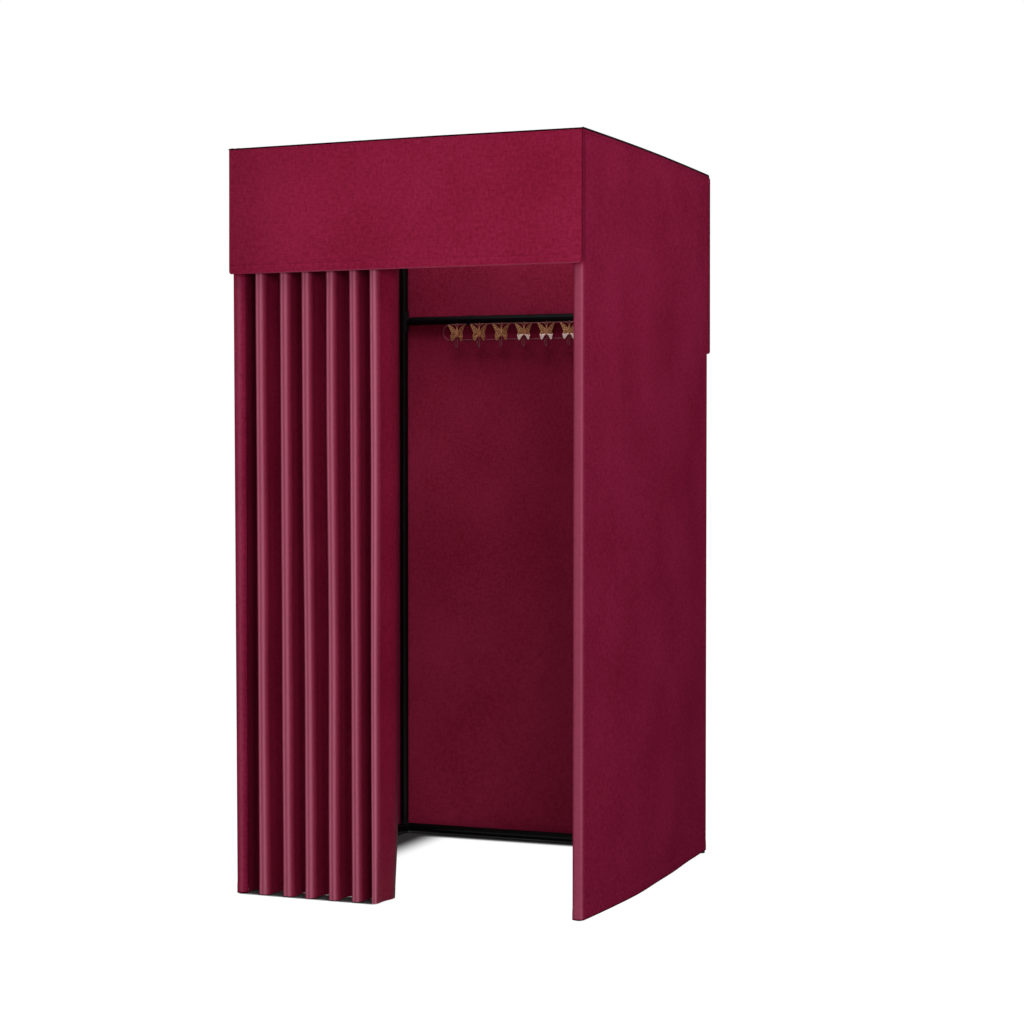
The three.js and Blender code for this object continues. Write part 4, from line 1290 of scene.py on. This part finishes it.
# A wing: its smooth outline, which stops at the body, cut through by the openings.
def wingPlate():
    outline = smoothLine(wingOutline, 6) * wingSize
    outline[:, 0] = np.maximum(outline[:, 0], 0)
    width, height = wingSize
    openings = [ellipse(x * width, z * height, long * width, wide * width, tilt)
                for x, z, long, wide, tilt in wingOpenings]
    return cutPlate([outline] + openings, butterfly["plate"], butterfly["bevel"])


# A white plate of painted highlight on a lower wing, set into the plate.
def wingGlint():
    outline = smoothLine(glintOutline, 5) * wingSize
    return cutPlate([outline], butterfly["plate"] * butterfly["glintThick"], butterfly["bevel"])


plateShape, glintShape = wingPlate(), wingGlint()


# A butterfly's body: a turned profile whose girth follows a few shares, with shallow rings as a cosine on
# its lower part.
def butterflyBody(start):
    heights = np.linspace(0, 1, 25)
    depth, turns, upTo = butterfly["segments"]
    girth = np.interp(heights, butterfly["girthAt"], butterfly["girth"])
    girth = girth * (1 - depth * np.cos(heights * turns) * (heights < upTo))
    profile = np.stack([girth * butterfly["body"], heights * butterfly["bodyLong"]], -1)
    return turned(profile, start, zAxis, 16)


coatHook = {"radius": 0.0016, "gap": 0.0003, "seat": 0.0006, "over": 0.003, "bend": 0.008, "drop": 0.015,
            "tipUp": 0.007, "ball": 0.0027}


# A coat hook: a wire that comes down, turns up through half a circle, and ends in a ball.
def addCoatHook(number, x, y, z, top):
    bend, ball, angles = coatHook["bend"], coatHook["ball"], arc(0, 180, 12)
    drop = arc(0, -180, 20)
    out = np.concatenate([[0], -bend + bend * np.cos(drop), [-2 * bend]])
    low = coatHook["drop"]
    up = np.concatenate([[top], bend * np.sin(drop) - low, [coatHook["tipUp"] - low]])
    path = grid(x, y + out, z + up)
    profile = np.stack([ball * np.sin(angles), ball - ball * np.cos(angles)], -1)
    tip = turned(profile, path[-1] - ball * zAxis, zAxis, 20)
    points, faces = together([wire(path, coatHook["radius"], xAxis), tip])
    addMesh("coat_hook_%d" % number, points, faces, "rose", welded=True)


# A butterfly in front of its coat hook, which hangs before the rack's wires: two wings, body and feelers.
def addButterfly(number):
    node = "butterfly_hook_%d" % number
    x = centre(node)[0]
    wireLow, wireHigh = span("rack_wire")
    lowerZ = wireLow[2] + rack["wire"]
    hookY = wireLow[1] - coatHook["gap"] - coatHook["radius"]
    plateY = hookY - coatHook["radius"] + coatHook["seat"] - butterfly["plate"] / 2
    place = np.array([x, plateY, lowerZ + rack["wire"] - butterfly["lower"]])
    bodyUp = (butterfly["height"] - butterfly["bodyLong"]) / 2
    bodyStart = place + np.array([0, -butterfly["bodyForward"], bodyUp])
    feeler = smoothLine(butterfly["feeler"], 5)
    feelers = [bodyStart + sign * feeler[:, :1] * xAxis + feeler[:, 1:] * zAxis for sign in (1, -1)]
    solids = bothWings(plateShape, place) + [butterflyBody(bodyStart)]
    points, faces = together(solids + [wire(path, butterfly["vein"], yAxis, 8) for path in feelers])
    made = addMesh("butterfly_%d" % number, points, faces, "gilt", welded=True)
    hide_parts(node)
    addCoatHook(number, x, hookY, lowerZ, wireHigh[2] - rack["wire"] - lowerZ + coatHook["over"])
    # The white plate of painted highlight on the lower wings of some.
    if number in butterfly["paintedGlint"]:
        points, faces = together(bothWings(glintShape, place))
        addMesh("wing_inlay_%d" % number, points, faces, "paintedGlint", welded=True)


for number in range(1, hookCount + 1):
    addButterfly(number)
print("stage: rack")


# Finer materials on the CAD nodes that stay.
keptNodes = {
    "top_hub": "plastic",
    "bottom_hub": "plastic",
    "bar_bracket": "plastic",
    "rod_bracket": "plastic",
    "rack_clip": "paint",
}
for name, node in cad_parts.items():
    for start, finish in keptNodes.items():
        if name.startswith(start):
            node.data.materials.clear()
            node.data.materials.append(materials[finish])


# The stage: a floor that glows white to the camera and in reflections and keeps only a faint real shadow,
# with painted shadows near the object, before a world that is white to them too. Both light the object at a
# plain level.
studio = {
    "skyLight": 0.10,
    "nearGlow": 0.98,
    "nearReach": 1.6,
    "farReach": 4.0,
    "floorColour": (0.42, 0.42, 0.42, 1),
    # The near-black seen colour is what the painted shadows show.
    "seenColour": (0.06, 0.06, 0.06, 1),
    "floorHalf": 60.0,
    "coverReach": 0.25,
    "cover": (0.50, 0.64),
}
white = (1, 1, 1, 1)
# Painted shadows on the floor: boxes where its glow is off and its near-black seen colour shows, under the
# curtain, behind it, and along the back rail. Each has the ends of its soft left and right edges, and of its
# front and back edges. The first only counts where the floor is closed in, so that it goes along with the
# curtain.
paintedShadows = [((-0.50, -0.48, -0.10, -0.07), (-0.545, -0.535, -0.43, -0.38)),
          ((-0.53, -0.50, -0.42, -0.30), (-0.44, -0.38, 0.565, 0.60)),
          ((-0.50, -0.48, 0.10, 0.20), (0.46, 0.50, 0.565, 0.60))]


# One where a ray comes straight from the camera, from a reflection or through something clear.
def seenDirectly(shading):
    path = shading.node("ShaderNodeLightPath")
    direct = path.part("Is Camera Ray").math("MAXIMUM", path.part("Is Glossy Ray"))
    return direct.math("MAXIMUM", path.part("Is Transmission Ray"))


# The world: white where it is seen, and a faint light elsewhere.
def addWorld():
    world = bpy.data.worlds.new("studio")
    shading = Shading(world)
    shading.tree.nodes.remove(shading.tree.nodes["Background"])
    sky, seen = [shading.node("ShaderNodeBackground", None, {"Color": white, "Strength": strength})
                 for strength in (studio["skyLight"], 1.0)]
    both = shading.mixShaders(seenDirectly(shading), sky, seen)
    shading.feed(shading.tree.nodes["World Output"], {"Surface": both})
    bpy.context.scene.world = world


# The floor's material. What is seen is a near-black matt that glows, a little less near the object as a faint
# painted shade, and not at all in the painted shadows, which show near black. Each of these is the product of
# four soft edges.
def floorMaterial():
    material = bpy.data.materials.new("paleFloor")
    shading = Shading(material)
    shading.tree.nodes.remove(shading.tree.nodes["Principled BSDF"])
    matt, seen = [shading.node("ShaderNodeBsdfDiffuse", None, {"Color": studio[key]})
                  for key in ("floorColour", "seenColour")]
    place = shading.place()
    away = shading.node("ShaderNodeVectorMath", {"operation": "LENGTH"}, {0: place}, 1)
    parts = shading.node("ShaderNodeSeparateXYZ", None, {0: place})

    def inside(signal, start, full, fading, end):
        return shading.ramp(signal, start, full) * (1 - shading.ramp(signal, fading, end))

    reach = {"Distance": studio["coverReach"]}
    openness = shading.node("ShaderNodeAmbientOcclusion", {"samples": 12}, reach, 1)
    covered = 1 - shading.ramp(openness, *studio["cover"])
    outsidePaintedShadows = 1.0
    for share, (across, along) in zip((covered, 1.0, 1.0), paintedShadows):
        outsidePaintedShadows = (1 - share * inside(parts.part(0), *across) * inside(parts.part(1), *along)) * outsidePaintedShadows
    near = studio["nearGlow"]
    rise = near + (1 - near) * shading.ramp(away, studio["nearReach"], studio["farReach"])
    glow = shading.node("ShaderNodeEmission", None, {"Color": white, "Strength": 1.0})
    glowing = shading.node("ShaderNodeAddShader", None, {0: seen, 1: glow})
    both = shading.mixShaders(seenDirectly(shading), matt, shading.mixShaders(rise * outsidePaintedShadows, seen, glowing))
    shading.feed(shading.tree.nodes["Material Output"], {"Surface": both})
    return material


# The floor: one large square.
def addFloor():
    half = studio["floorHalf"]
    corners = [(-half, -half, 0), (half, -half, 0), (half, half, 0), (-half, half, 0)]
    mesh = bpy.data.meshes.new("floor")
    mesh.from_pydata(corners, [], [(0, 1, 2, 3)])
    mesh.materials.append(floorMaterial())
    addObject("floor", mesh)


# Each lamp: place, point that it faces, width and height, power, and whether it shows in reflections.
lamps = {
    "key": ((-4.0, -5.8, 1.6), (-0.2, -0.5, 1.0), (1.6, 2.2), 32, True),
    "front": ((1.8, -7.0, 2.0), (0.1, -0.3, 1.1), (3.2, 3.2), 30, False),
    "frontRight": ((4.0, -5.8, 2.6), (0.1, -0.4, 1.1), (2.4, 2.4), 165, False),
    "right": ((2.1, -0.35, 3.0), (0.5, 0.0, 1.4), (1.2, 1.2), 20.5, False),
    "top": ((0.1, -1.2, 6.4), (0.0, 0.1, 1.0), (3.2, 3.2), 240, False),
    "back": ((-1.0, 7.0, 3.5), (0, 0.5, 1.0), (3.0, 3.0), 90, True),
    "left": ((-2.3, -0.3, 3.3), (-0.5, 0.0, 1.4), (1.2, 1.2), 60, False),
}


# A lamp shines down when unturned: it is tilted by the angle of its way from the target, and turned to it.
def addLamps():
    for name, (place, target, size, power, glossy) in lamps.items():
        data = bpy.data.lights.new(name, "AREA")
        data.shape = "RECTANGLE"
        data.size, data.size_y = size
        data.energy = power
        lamp = addObject(name, data)
        lamp.visible_glossy = glossy
        away = np.array(place) - np.array(target)
        flat = math.hypot(away[0], away[1])
        lamp.location = place
        lamp.rotation_euler = (math.atan2(flat, away[2]), 0, math.atan2(away[0], -away[1]))


addWorld()
addFloor()
addLamps()
bpy.context.scene.view_settings.view_transform = "Standard"
print("stage: studio")
